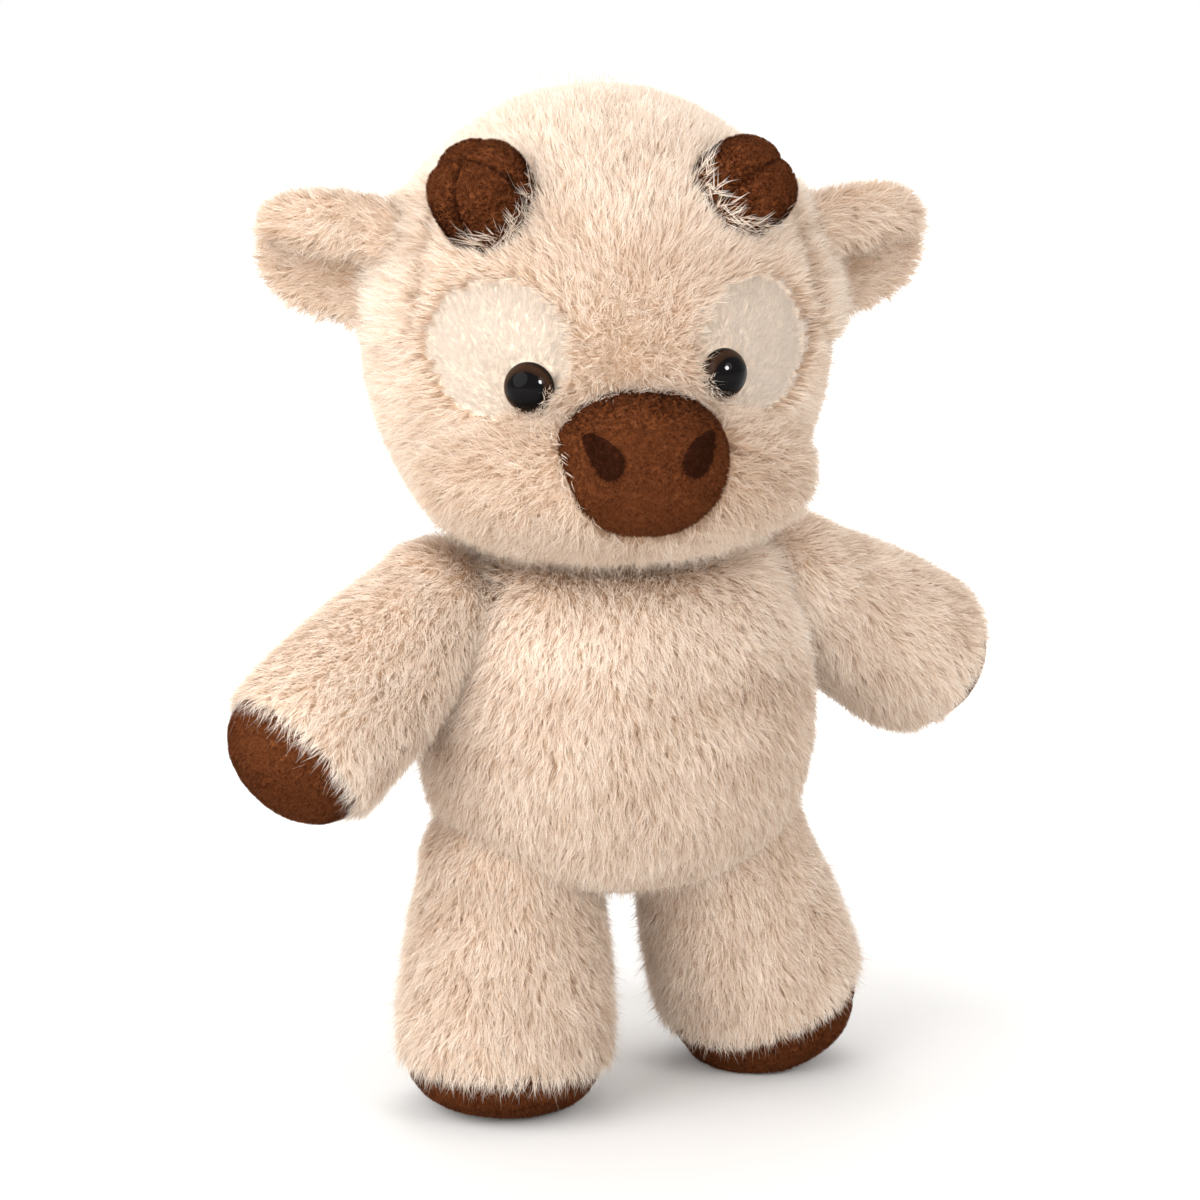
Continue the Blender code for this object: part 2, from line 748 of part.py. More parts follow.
def nose_mesh(name, grow):
    """The nose pad's ball, fuller towards its corners than an ellipsoid."""
    mesh = ball_mesh(name, (1.0, 1.0, 1.0), NOSE_SEGMENTS, NOSE_RINGS)
    for vertex in mesh.vertices:
        total = sum(abs(part) ** NOSE_FULLNESS for part in vertex.co)
        vertex.co /= total ** (1.0 / NOSE_FULLNESS)
    radii = [size + grow for size in (NOSE_HALF_WIDTH, NOSE_HALF_DEPTH, NOSE_HALF_HEIGHT)]
    mesh.transform(Matrix.Translation(nose_centre()) @ Matrix.Diagonal((*radii, 1.0)))
    return mesh


def make_nose(head, clear_of_head):
    """The nose pad, seated on the muzzle, and its two nostril patches."""
    nose = add_piece("nose_pad", nose_mesh("nose_pad", 0.0), "brown_pile", head)
    boolean(nose, "DIFFERENCE", clear_of_head)
    beneath = add_cutter("nose_beneath", nose_mesh("nose_beneath", SEAM_GAP), head)
    for side, sign in SIDES.items():
        name = f"nostril_{side}"
        outer = nose_mesh(name, SEAM_GAP + NOSTRIL_THICKNESS)
        nostril = add_piece(name, outer, "dark_pile", head)
        lean = Euler((math.pi / 2, sign * math.radians(NOSTRIL_LEAN_DEG), 0.0), "XYZ")
        spot = nose_centre() + Vector((sign * NOSTRIL_SIDE, 0.0, NOSTRIL_RISE))
        place = Matrix.Translation(spot) @ lean.to_matrix().to_4x4()
        rod = rod_mesh(
            "nostril_window",
            NOSTRIL_HALF_WIDTH,
            NOSTRIL_HALF_LENGTH,
            0.0,
            2 * NOSE_HALF_DEPTH,
            NOSTRIL_SEGMENTS,
        )
        window = add_cutter(f"nostril_window_{side}", rod, head, place)
        boolean(nostril, "INTERSECT", window)
        boolean(nostril, "DIFFERENCE", beneath)


def grooved(mesh):
    """Draws a turned horn in along the seams between its gores."""
    for vertex in mesh.vertices:
        around = math.atan2(vertex.co.y, vertex.co.x) / (2 * math.pi) * HORN_GORES
        off_seam = abs(around - round(around))
        if off_seam < 1.0 / HORN_STEPS:
            vertex.co.x *= 1.0 - HORN_GROOVE_SHARE
            vertex.co.y *= 1.0 - HORN_GROOVE_SHARE
    return mesh


def horn_outline(shrink):
    """A horn's outline from its root to its tip, drawn in by a distance."""
    points = [(0.0, -HORN_ROOT_DEPTH), (HORN_OUTLINE_SHARES[0][0] * HORN_RADIUS, -HORN_ROOT_DEPTH)]
    points += [(w * HORN_RADIUS, h * HORN_LENGTH) for w, h in HORN_OUTLINE_SHARES]
    moved = inset(points[1:], shrink)
    return [(moved[0][0], points[1][1])] + moved[1:]


def make_horn(side, head, clear_of_head):
    """One horn's cover and stuffing, seated on the head."""
    sizes = (HEAD_HALF_WIDTH, HEAD_HALF_DEPTH, HEAD_UPPER_HEIGHT)
    base = Vector([share * size for share, size in zip(HORN_BASE_SHARES[side], sizes)])
    way = Vector(HORN_DIRECTION_SHARES[side]).normalized()
    place = facing(head_centre() + base, way)
    outer = horn_outline(0.0)
    inner = horn_outline(SKIN_THICKNESS)
    fill = [(0.0, -HORN_ROOT_DEPTH)] + horn_outline(SKIN_THICKNESS + SEAM_GAP)
    for name, outline, look in (
        (f"horn_skin_{side}", shell_outline(outer, inner), "brown_pile"),
        (f"horn_fill_{side}", fill, "stuffing"),
    ):
        piece = add_piece(name, grooved(turned_mesh(name, outline, HORN_STEPS)), look, head, place)
        boolean(piece, "DIFFERENCE", clear_of_head)


def ear_sheet(name, offset):
    """An ear panel as an open sheet: its length along +X, its width along Z, cupped towards -Y.

    The offset moves it square to the cup.
    """

    def build(work):
        rows = []
        last = len(EAR_WIDTH_SHARES) - 1
        for i, share in enumerate(EAR_WIDTH_SHARES):
            along = EAR_LENGTH * math.sin(math.pi / 2 * i / last)
            row = []
            for j in range(EAR_ACROSS + 1):
                across = 2.0 * j / EAR_ACROSS - 1.0
                cup = -EAR_CUP_DEPTH * across**2 * share
                middle = Vector((along, cup, EAR_HALF_WIDTH * share * across))
                square = Vector((0.0, EAR_HALF_WIDTH, 2.0 * EAR_CUP_DEPTH * across)).normalized()
                row.append(work.verts.new(middle + square * offset))
            rows.append(row)
        for lower, upper in zip(rows, rows[1:]):
            for j in range(EAR_ACROSS):
                work.faces.new((lower[j], upper[j], upper[j + 1], lower[j + 1]))

    return closed_mesh(name, build)


def make_ear(side, head):
    """One ear of a back and a front panel, on an empty at its root just off the head."""
    sign = SIDES[side]
    point, _ = skull_point(sign * EAR_AZIMUTH_DEG, EAR_HEIGHT)
    sweep = Matrix.Rotation(math.radians(sign * EAR_SWEEP_DEG), 3, "Z")
    lift = Matrix.Rotation(math.radians(-sign * EAR_LIFT_DEG), 3, "Y")
    turn = sweep @ lift
    root = point + turn @ Vector((sign * EAR_ROOT_GAP, 0.0, 0.0))
    pivot = make_empty(f"ear_root_{side}", root, head, turn.to_quaternion())
    step = (EAR_PANEL_THICKNESS + EAR_PANEL_GAP) / 2
    for name, offset in ((f"ear_back_{side}", step), (f"ear_front_{side}", -step)):
        mesh = ear_sheet(name, offset)
        if sign < 0:
            mesh.transform(Matrix.Diagonal((-1.0, 1.0, 1.0, 1.0)))
            mesh.flip_normals()
        panel = add_piece(name, mesh, "long_pile", pivot)
        thick = panel.modifiers.new("thickness", "SOLIDIFY")
        thick.thickness = EAR_PANEL_THICKNESS
        thick.offset = 0.0


def make_head():
    """The head and all that it carries."""
    turn = Euler((0.0, 0.0, math.radians(HEAD_TURN_DEG))).to_quaternion()
    head = make_empty("neck", (0.0, 0.0, neck_height()), rotation=turn)
    below = block_mesh("below_neck", 2 * HEAD_HALF_WIDTH, -HEAD_LOWER_HEIGHT, SEAM_GAP)
    below_neck = add_cutter("below_neck", below, head)
    patches, fill = make_head_covers(head, below_neck)
    clear_of_head = head_form("clear_of_head", SEAM_GAP, head, None, True)
    make_nose(head, clear_of_head)
    for side in SIDES:
        make_eye(side, head, patches[side], fill)
        make_horn(side, head, clear_of_head)
        make_ear(side, head)


def main():
    sockets = [make_arm(side) for side in SIDES]
    sockets += [make_leg(side) for side in SIDES]
    make_torso(sockets)
    make_tail()
    make_head()


main()
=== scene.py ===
"""Looks of the plush cow: sewn covers with real pile strands, velour horns, nose and hooves, glossy eyes."""

import math

import bmesh
import bpy
import numpy as np
from mathutils import Euler, Matrix, Vector


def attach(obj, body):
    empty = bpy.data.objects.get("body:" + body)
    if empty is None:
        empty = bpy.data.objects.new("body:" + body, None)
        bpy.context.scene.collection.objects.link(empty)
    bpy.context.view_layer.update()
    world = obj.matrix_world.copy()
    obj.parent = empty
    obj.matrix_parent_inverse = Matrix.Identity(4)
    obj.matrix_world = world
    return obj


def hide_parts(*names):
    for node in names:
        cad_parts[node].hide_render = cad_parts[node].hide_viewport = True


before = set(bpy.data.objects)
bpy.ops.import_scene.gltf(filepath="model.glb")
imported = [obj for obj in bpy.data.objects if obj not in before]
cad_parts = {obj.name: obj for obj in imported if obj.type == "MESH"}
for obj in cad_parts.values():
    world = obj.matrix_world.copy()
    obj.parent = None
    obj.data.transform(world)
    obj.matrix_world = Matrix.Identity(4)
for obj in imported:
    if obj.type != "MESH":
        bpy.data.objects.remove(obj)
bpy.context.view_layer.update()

SIDES = {"left": 1, "right": -1}
MM = 0.001
DOWN = np.array((0.0, 0.0, -1.0))
WHITE = (1.0, 1.0, 1.0)
FAR_AWAY = 9.0

# Camera, as the photograph was taken
CAMERA_AZIMUTH_DEG = -24.0
CAMERA_ELEVATION_DEG = 11.0
CAMERA_DISTANCE = 1.35
CAMERA_TARGET = (-0.007, 0.0, 0.1955)
CAMERA_VIEW_WIDTH = 0.462
SENSOR_WIDTH = 36.0

# Lamps: name, metres to the right of, above and towards the camera from its target, the height aimed at,
# size, watts and colour
LAMPS = (
    ("key", (-1.40, 1.00, 1.15), 0.20, 2.2, 48.0, (1.0, 0.995, 0.985)),
    ("front", (-0.35, -0.10, 1.60), 0.15, 1.2, 13.0, (1.0, 0.995, 0.985)),
    ("back", (0.0, 1.50, -1.10), 0.20, 1.5, 14.0, (1.0, 0.995, 0.985)),
    ("fill", (1.10, 0.80, 1.10), 0.20, 0.80, 10.0, (1.0, 0.99, 0.98)),
    ("eye_glint", (0.95, 0.66, 1.30), 0.20, 0.42, 90.0, WHITE),
)
FLOOR_HALF = 8.0
FLOOR_COLOUR = (0.665, 0.66, 0.655, 1.0)
# The floor's own glow where it is seen directly: the distances and strengths between which it rises
FLOOR_GLOW = {"From Min": 0.17, "From Max": 0.80, "To Min": 0.02, "To Max": 0.9}

# Fabric
SKIN = 0.0022
SEAM_GAP = 0.0004

# Pile strands: the shares of a strand's length that have points, and its width there
LEVELS = (0.0, 0.5, 1.0)
LEVEL_WIDTHS = (1.0, 0.85, 0.0)
TONES = 128
MOST_STRANDS = 62000
STRAND_TWIST = 0.7
LOWEST_POINT = 0.0004
ROOT_DEPTH = 0.5 * MM
# How far apart the pile's swirls, its taller and lower places, and its lighter and darker ones lie
SWIRL_SPAN = 0.022
HEIGHT_SPAN = 0.009
TONE_SPAN = 0.030
STRAY_THROW = 2.1 * MM
STRAY_RISE = 1.5 * MM

# Trunk
TORSO_HALF_WIDTH = 0.0755
TORSO_HALF_DEPTH = 0.061
TORSO_SQUEEZE = TORSO_HALF_DEPTH / TORSO_HALF_WIDTH
TORSO_BOTTOM = 0.0865
TORSO_HEIGHT = 0.130
NECK_RADIUS = 0.040
NECK_HEIGHT = TORSO_BOTTOM + TORSO_HEIGHT
TORSO_SHARES = (
    (0.0, 0.0), (0.34, 0.008), (0.61, 0.045), (0.81, 0.125), (0.925, 0.24),
    (0.985, 0.38), (1.0, 0.52), (0.965, 0.70), (0.875, 0.86), (0.74, 0.96),
)

# Head, in its own frame with the origin on the neck seam
# Grids are (rings, points around)
HEAD_GRID = (150, 220)
HEAD_FILL_GRID = (90, 120)
NOSE_GRID = (72, 96)
NOSTRIL_GRID = (14, 40)
HEAD_TURN_DEG = -14.0
HEAD_CENTRE = np.array((-0.0085, -0.004, 0.0835))
HEAD_HALF = np.array((0.0845, 0.080, 0.088))
HEAD_HALF_LOWER = np.array((0.0845, 0.080, 0.0948))
# Stretches of the head's pile, by their first and last turn in degrees
HEAD_SECTORS = (("left", -60.0, 60.0), ("back", 60.0, 120.0), ("right", 120.0, 240.0), ("face", 240.0, 300.0))
BRIDGE = np.array((0.0, -0.080, -0.004))
BROW = np.array((0.0, -0.078, 0.0))
BROW_HALF = np.array((0.020, 0.030, 0.026))
MUZZLE_CENTRE = np.array((0.0, -0.041, -0.048))
MUZZLE_HALF = np.array((0.0705, 0.056, 0.034))
MUZZLE_CREASE = 2.2 * MM
MUZZLE_CREASE_WIDTH = 3.6 * MM
CHIN_LIFT = 0.16
NOSE_CENTRE = np.array((0.0020, -0.080, -0.0385))
NOSE_HALF = np.array((0.0315, 0.0265, 0.0262))
NOSE_POWER = 2.2
NOSTRIL_HALF_LENGTH = 0.0092
NOSTRIL_HALF_WIDTH = 0.0052
NOSTRIL_SIDE = 0.0175
NOSTRIL_RISE = 0.0060
NOSTRIL_LEAN_DEG = 34.0
NOSTRIL_TAPER = 0.30
NOSTRIL_BEND = 0.18
NOSTRIL_SWELL = 0.6 * MM
NOSTRIL_THICKNESS = 0.8 * MM
PATCH_HALF = (0.0285, 0.0255)
PATCH_AZIMUTH_DEG = 35.0
PATCH_RISE = 0.0015
PATCH_SINK = 2.0 * MM
EYE_RADIUS = 0.0094
EYE_HEIGHT = 0.0078
EYE_BACK = 0.2 * MM
EYE_STEM_RADIUS = 0.0024
EYE_STEM_LENGTH = 0.0125
EYE_AZIMUTH_DEG = {"left": 23.0, "right": 26.0}
EYE_DROP = {"left": 0.0078, "right": 0.0115}
HORN_RADIUS = 0.0190
HORN_LENGTH = 0.0340
HORN_ROOT_DEPTH = 0.012
HORN_BASE = {"left": (0.0330, -0.0435, 0.0455), "right": (-0.0425, -0.0430, 0.0430)}
HORN_WAY = {"left": (0.69, -0.36, 0.63), "right": (-0.46, -0.48, 0.75)}
HORN_SHARES = ((0.92, 0.0), (1.0, 0.36), (1.0, 0.62), (0.86, 0.84), (0.52, 0.965), (0.0, 1.0))
# How much narrower a stuffed horn is than its widest gores
HORN_SLIM = 0.92
HORN_GORES = 4.0
HORN_GATHER = 2.2 * MM
EAR_LENGTH = 0.045
EAR_HALF_WIDTH = 0.0205
EAR_DEPTH = 0.0075
EAR_HALF_THICKNESS = 2.2 * MM
EAR_PANEL = 1.2 * MM
EAR_ROOT_DEPTH = 2.0 * MM
EAR_RISE = 0.0040
EAR_FOLD_TOP = math.radians(165.0)
EAR_FOLD_BOTTOM = math.radians(72.0)
EAR_HEIGHT = 0.0280
EAR_AZIMUTH_DEG = 82.0
EAR_SWEEP_DEG = 24.0
EAR_LIFT_DEG = 6.0
EAR_WIDTH_SHARES = (1.0, 1.0, 0.96, 0.86, 0.68, 0.44, 0.14)
EAR_ROWS = 30
EAR_COLUMNS = 31
# The oval round an ear's root that carries long tufts, behind and above the ear's own origin
EAR_ROOT_MIDDLE = (-0.010, 0.001)
EAR_ROOT_HALF = (0.019, 0.024)

# Limbs: (root radius, end radius, ball end, cap depth, cap power)
ARM = (0.0230, 0.0298, 100.0, 0.028, 2.3)
LEG = (0.0325, 0.0382, 98.0, 0.030, 2.8)
SHOULDER = (0.07506, 0.0, 0.1983)
HIP = (0.0448, 0.0005, 0.0935)
ARM_LENGTH = {"left": 0.0958, "right": 0.0990}
ARM_DOWN_DEG = {"left": 31.0, "right": 39.0}
ARM_FORWARD_DEG = {"left": -6.0, "right": 10.0}
LEG_SPLAY_DEG = {"left": 19.0, "right": 4.0}
LEG_FORWARD_DEG = {"left": -6.0, "right": 4.0}
CAP_ANGLES_DEG = (35.0, 55.0, 74.0, 90.0)
HEM_DEG = {"arm_left": 22.0, "arm_right": 14.0, "leg_left": 2.0, "leg_right": 10.0}
HEM_REACH = {"arm_left": 0.1, "arm_right": 0.1, "leg_left": -0.3, "leg_right": 0.25}
SOLE_FLAT_DEPTH = 0.0020
# Painted light: how much lighter a limb's pile is painted than the trunk's, most on the near arm that the
# lamps light more, and how much more so at its root, where the chin's shade falls
LIMB_PAINTED_LIGHT = {"arm_left": 0.10, "arm_right": 0.32, "leg_left": 0.0, "leg_right": 0.0}
ROOT_PAINTED_LIGHT = {"arm": 0.12, "leg": 0.0}
# How much taller the pile is at a limb's root
ROOT_PILE = {"arm": 0.05, "leg": -0.40}
# How deep in the trunk a limb's root still carries pile, so that it shows none of its backing when it swings
SWING_DEPTH = {"arm": 0.020, "leg": 0.018}

# Tail
TAIL_ROOT = (0.0, 0.06289, 0.1255)
TAIL_LENGTH = 0.056
TAIL_TILT_DEG = 27.0
TAIL_ROOT_RADIUS = 0.0045
TAIL_RADIUS = 0.0036
TUFT_RADIUS = 0.0085
TUFT_LENGTH = 0.026
TUFT_SHARES = ((0.0, 0.0), (0.42, 0.01), (0.82, 0.22), (1.0, 0.5), (0.72, 0.8), (0.3, 0.96), (0.0, 1.0))


# Small tools


def unit(v):
    v = np.asarray(v, float)
    return v / np.maximum(np.linalg.norm(v, axis=-1, keepdims=True), 1e-12)


def smoothstep(x):
    x = np.clip(x, 0.0, 1.0)
    return x * x * (3.0 - 2.0 * x)


def bell(*parts):
    """1 where every part is 0, falling to nothing as they grow past 1."""
    return np.exp(-sum(part**2 for part in parts))


def swung(matrix, ways):
    """Ways turned by a matrix."""
    return ways @ np.array(matrix)[:3, :3].T


def moved(matrix, points):
    """Points carried by a matrix."""
    return swung(matrix, points) + np.array(matrix)[:3, 3]


def wave_noise(points, scale, seed, waves=7):
    """A smooth, repeatable noise of about -1 to 1, from sums of slanted sine waves."""
    rng = np.random.default_rng(seed)
    total = np.zeros(len(points))
    for _ in range(waves):
        way = unit(rng.normal(size=3)) / scale * rng.uniform(0.6, 1.6)
        total += np.sin(points @ way * 2.0 * math.pi + rng.uniform(0, 2 * math.pi))
    return total / math.sqrt(waves / 2.0) / 1.6


def evenly(outline, rows):
    """Rows spaced evenly along an outline."""
    run = np.concatenate([[0.0], np.cumsum(np.linalg.norm(np.diff(outline, axis=0), axis=1))])
    at = np.linspace(0.0, run[-1], rows)
    return np.column_stack([np.interp(at, run, outline[:, 0]), np.interp(at, run, outline[:, 1])])


def smooth_outline(points, rows):
    """An outline drawn smoothly through its points, as evenly spaced rows."""
    p = np.array(points, float)
    before = p[1] * (-1, 1) if p[0, 0] == 0.0 else 2 * p[0] - p[1]
    after = p[-2] * (-1, 1) if p[-1, 0] == 0.0 else 2 * p[-1] - p[-2]
    p = np.vstack([before, p, after])
    steps = np.linspace(0.0, 1.0, 13)[:-1, None]
    drawn = []
    for a, b, c, d in zip(p, p[1:], p[2:], p[3:]):
        square = steps**2 * (a - 2.5 * b + 2 * c - 0.5 * d)
        cube = steps**3 * (1.5 * b - 1.5 * c + 0.5 * d - 0.5 * a)
        drawn.append(b + 0.5 * steps * (c - a) + square + cube)
    drawn = np.vstack(drawn + [p[-2:-1]])
    drawn[:, 0] = np.maximum(drawn[:, 0], 0.0)
    return evenly(drawn, rows)


def inset(outline, distance):
    """An outline moved inwards, square to itself."""
    along = unit(np.gradient(outline, axis=0))
    sign = math.copysign(1.0, outline[-1, 1] - outline[0, 1])
    inner = outline + distance * sign * np.column_stack([-along[:, 1], along[:, 0]])
    inner[outline[:, 0] == 0.0, 0] = 0.0
    inner[:, 0] = np.maximum(inner[:, 0], 0.0)
    return inner


def linked(name, data):
    made = bpy.data.objects.new(name, data)
    bpy.context.scene.collection.objects.link(made)
    return made


def object_from(name, points, faces, material):
    mesh = bpy.data.meshes.new(name)
    mesh.from_pydata([tuple(p) for p in points], [], faces)
    work = bmesh.new()
    work.from_mesh(mesh)
    bmesh.ops.remove_doubles(work, verts=work.verts, dist=1e-6)
    bmesh.ops.dissolve_degenerate(work, edges=work.edges, dist=1e-7)
    bmesh.ops.recalc_face_normals(work, faces=work.faces)
    work.to_mesh(mesh)
    work.free()
    mesh.shade_smooth()
    mesh.materials.append(material)
    return linked(name, mesh)


def part_of(source, name, material, wanted):
    """A piece of a cover: the faces whose middle is wanted."""
    mesh = source.data.copy()
    mesh.name = name
    work = bmesh.new()
    work.from_mesh(mesh)
    kept = wanted(np.array([face.calc_center_median() for face in work.faces]))
    bmesh.ops.delete(work, geom=[face for face, k in zip(work.faces, kept) if not k], context="FACES")
    work.to_mesh(mesh)
    work.free()
    mesh.materials.clear()
    mesh.materials.append(material)
    return linked(name, mesh)


def thicken(piece, thickness, offset):
    solid = piece.modifiers.new("thickness", "SOLIDIFY")
    solid.thickness = thickness
    solid.offset = offset


def grid_faces(rows, columns, closed=True):
    faces = []
    for i in range(rows - 1):
        for j in range(columns if closed else columns - 1):
            k = (j + 1) % columns
            faces.append((i * columns + j, i * columns + k, (i + 1) * columns + k, (i + 1) * columns + j))
    return faces


def round_ways(rings, around):
    """Ways to all sides, in rings from +Z to -Z."""
    tilt = np.linspace(0.0, math.pi, rings)[:, None]
    turn = np.linspace(0.0, 2 * math.pi, around, endpoint=False)[None, :]
    across = np.sin(tilt)
    ways = np.stack([across * np.cos(turn), across * np.sin(turn), np.cos(tilt) + 0 * turn], axis=-1)
    return ways.reshape(-1, 3)


def turned(name, outline, material, around=64, squeeze=1.0, matrix=Matrix(), shape=lambda points: points):
    """A turned form round z from (radius, height) rows. shape may move its points before they are placed."""
    angle = np.linspace(0.0, 2 * math.pi, around, endpoint=False)
    radius, height = outline[:, :1], outline[:, 1:]
    grid = [radius * np.cos(angle), radius * np.sin(angle) * squeeze, height + 0.0 * angle]
    points = shape(np.stack(grid, axis=-1).reshape(-1, 3))
    return object_from(name, moved(matrix, points), grid_faces(len(outline), around), material)


def facing(point, out):
    return Matrix.Translation(Vector(point)) @ Vector(out).to_track_quat("Z", "Y").to_matrix().to_4x4()


# Materials


def add_node(nodes, kind, inputs=None, **settings):
    """A shader node with its settings and its sockets' values."""
    made = nodes.new(f"ShaderNode{kind}")
    for key, value in settings.items():
        setattr(made, key, value)
    set_inputs(made, inputs or {})
    return made


def set_inputs(node, values):
    for key, value in values.items():
        node.inputs[key].default_value = value


def connect(links, *joins):
    """Joins nodes, each join given as (from, its output, to, its input)."""
    for source, output, target, entry in joins:
        links.new(source.outputs[output], target.inputs[entry])


def new_material(name, roughness, specular, sheen=0.0):
    made = bpy.data.materials.new(name)
    made.use_nodes = True
    nodes = made.node_tree.nodes
    shader = nodes["Principled BSDF"]
    set_inputs(shader, {"Roughness": roughness, "Specular IOR Level": specular, "Sheen Weight": sheen})
    return made, nodes, made.node_tree.links, shader


def add_ramp(nodes, stops):
    ramp = add_node(nodes, "ValToRGB")
    elements = ramp.color_ramp.elements
    while len(elements) < len(stops):
        elements.new(0.5)
    for element, (place, colour) in zip(elements, stops):
        element.position = place
        element.color = (*colour, 1.0)
    return ramp


def pile_material(name, root, middle, tip, dark, roughness=0.85, sheen=0.0, through_share=0.40):
    """Strands: by their own map, the colour runs from a darker root, painted shade deep in the pile, to the
    tip, and each lock has its own tone.
    """
    made, nodes, links, shader = new_material(name, roughness, 0.0, sheen)
    where = add_node(nodes, "UVMap", uv_map="OFBake")
    split = add_node(nodes, "SeparateXYZ")
    along = add_ramp(nodes, ((0.0, root), (0.45, middle), (1.0, tip)))
    tone = add_ramp(nodes, ((0.0, dark), (0.55, [(part + 1.0) / 2 for part in dark]), (1.0, WHITE)))
    both = add_node(nodes, "Mix", data_type="RGBA", blend_type="MULTIPLY")
    both.inputs["Factor"].default_value = 1.0
    through = add_node(nodes, "BsdfTranslucent")
    mix = add_node(nodes, "MixShader", {"Fac": through_share})
    connect(
        links,
        (where, "UV", split, "Vector"),
        (split, "Y", along, "Fac"),
        (split, "X", tone, "Fac"),
        (along, "Color", both, "A"),
        (tone, "Color", both, "B"),
        (both, "Result", shader, "Base Color"),
        (both, "Result", through, "Color"),
        (shader, "BSDF", mix, 1),
        (through, "BSDF", mix, 2),
        (mix, "Shader", nodes["Material Output"], "Surface"),
    )
    return made


def fabric_material(name, stops, scale, fine_scale, bump, depth, roughness=0.95, sheen=0.0, specular=0.2):
    """Woven or napped cloth: broad mottling, fine fibres in colour and bump."""
    made, nodes, links, shader = new_material(name, roughness, specular, sheen)
    shader.inputs["Sheen Roughness"].default_value = 0.45
    place = add_node(nodes, "TexCoord")
    broad = add_node(nodes, "TexNoise", {"Scale": scale, "Detail": 5.0, "Roughness": 0.62})
    fine = add_node(nodes, "TexNoise", {"Scale": fine_scale, "Detail": 3.0})
    both = add_node(nodes, "Math", {1: 0.45}, operation="MULTIPLY_ADD")
    ramp = add_ramp(nodes, stops)
    relief = add_node(nodes, "Bump", {"Strength": bump, "Distance": depth})
    connect(
        links,
        (place, "Object", broad, "Vector"),
        (place, "Object", fine, "Vector"),
        (fine, "Fac", both, 0),
        (broad, "Fac", both, 2),
        (both, "Value", ramp, "Fac"),
        (fine, "Fac", relief, "Height"),
        (ramp, "Color", shader, "Base Color"),
        (relief, "Normal", shader, "Normal"),
    )
    return made


def eye_material(name):
    """Glossy eye: black pupil and dark brown ring, by how far a point is from the eye's axis."""
    made, nodes, links, shader = new_material(name, 0.05, 0.06)
    ring = add_node(nodes, "Attribute", attribute_name="from_axis")
    grain = add_node(nodes, "TexNoise", {"Scale": 900.0})
    place = add_node(nodes, "TexCoord")
    nudge = add_node(nodes, "Math", {1: 0.05}, operation="MULTIPLY_ADD")
    pupil, edge = (0.003, 0.0025, 0.0025), (0.008, 0.004, 0.003)
    iris = ((0.79, (0.020, 0.009, 0.005)), (0.95, (0.034, 0.016, 0.009)))
    ramp = add_ramp(nodes, ((0.0, pupil), (0.74, pupil), *iris, (1.0, edge)))
    connect(
        links,
        (place, "Object", grain, "Vector"),
        (grain, "Fac", nudge, 0),
        (ring, "Fac", nudge, 2),
        (nudge, "Value", ramp, "Fac"),
        (ramp, "Color", shader, "Base Color"),
    )
    return made


LONG_PILE = pile_material(
    "long_pile_strands",
    root=(0.60, 0.415, 0.28), middle=(0.92, 0.785, 0.655), tip=(1.0, 0.965, 0.905),
    dark=(0.66, 0.545, 0.445), roughness=0.7, sheen=0.12,
)
SHORT_PILE = pile_material(
    "short_pile_strands",
    root=(0.66, 0.57, 0.485), middle=(0.72, 0.65, 0.58), tip=(0.76, 0.70, 0.635),
    dark=(0.93, 0.91, 0.89), sheen=0.15,
)
BROWN_PILE = pile_material(
    "brown_pile_strands",
    root=(0.130, 0.038, 0.013), middle=(0.160, 0.047, 0.016), tip=(0.310, 0.108, 0.041),
    dark=(0.12, 0.09, 0.08), sheen=0.02, through_share=0.45,
)
DARK_PILE = pile_material(
    "dark_pile_strands",
    root=(0.020, 0.006, 0.003), middle=(0.036, 0.011, 0.005), tip=(0.065, 0.022, 0.010),
    dark=(0.6, 0.55, 0.5), through_share=0.35,
)
# The backing is painted darker than the pile, as painted shade at the bottom of the pile
BACKING = fabric_material(
    "pile_backing",
    ((0.40, (0.50, 0.34, 0.22)), (0.70, (0.62, 0.45, 0.31)), (1.0, (0.74, 0.57, 0.42))),
    scale=60.0, fine_scale=900.0, bump=0.5, depth=0.6 * MM, sheen=0.1,
)
PATCH_CLOTH = fabric_material(
    "short_pile_cloth",
    ((0.40, (0.78, 0.63, 0.49)), (0.75, (0.88, 0.75, 0.61)), (1.0, (0.94, 0.83, 0.70))),
    scale=80.0, fine_scale=1200.0, bump=0.4, depth=0.4 * MM, sheen=0.1,
)
BROWN_VELOUR = fabric_material(
    "brown_velour",
    (
        (0.40, (0.085, 0.024, 0.008)), (0.62, (0.125, 0.037, 0.012)),
        (0.82, (0.160, 0.050, 0.018)), (1.0, (0.220, 0.076, 0.029)),
    ),
    scale=300.0, fine_scale=850.0, bump=1.0, depth=1.6 * MM, specular=0.0,
)
DARK_VELOUR = fabric_material(
    "dark_velour",
    ((0.40, (0.018, 0.005, 0.002)), (0.75, (0.036, 0.010, 0.004)), (1.0, (0.060, 0.018, 0.008))),
    scale=260.0, fine_scale=1300.0, bump=0.5, depth=0.4 * MM, specular=0.02,
)
COTTON = fabric_material(
    "stuffing_fibre",
    ((0.40, (0.78, 0.78, 0.76)), (1.0, (0.93, 0.93, 0.91))),
    scale=90.0, fine_scale=700.0, bump=0.8, depth=1.0 * MM, sheen=0.2,
)
WASHER = fabric_material(
    "washer_plastic_look",
    ((0.40, (0.70, 0.70, 0.67)), (1.0, (0.80, 0.80, 0.77))),
    scale=140.0, fine_scale=2000.0, bump=0.1, depth=0.1 * MM, roughness=0.45, specular=0.5,
)
EYE = eye_material("eye_plastic_look")


# Pile strands


def read(items, field, kind=float):
    """A property of each item of a mesh, as rows of three."""
    values = np.empty(len(items) * 3, kind)
    items.foreach_get(field, values)
    return values.reshape(-1, 3)


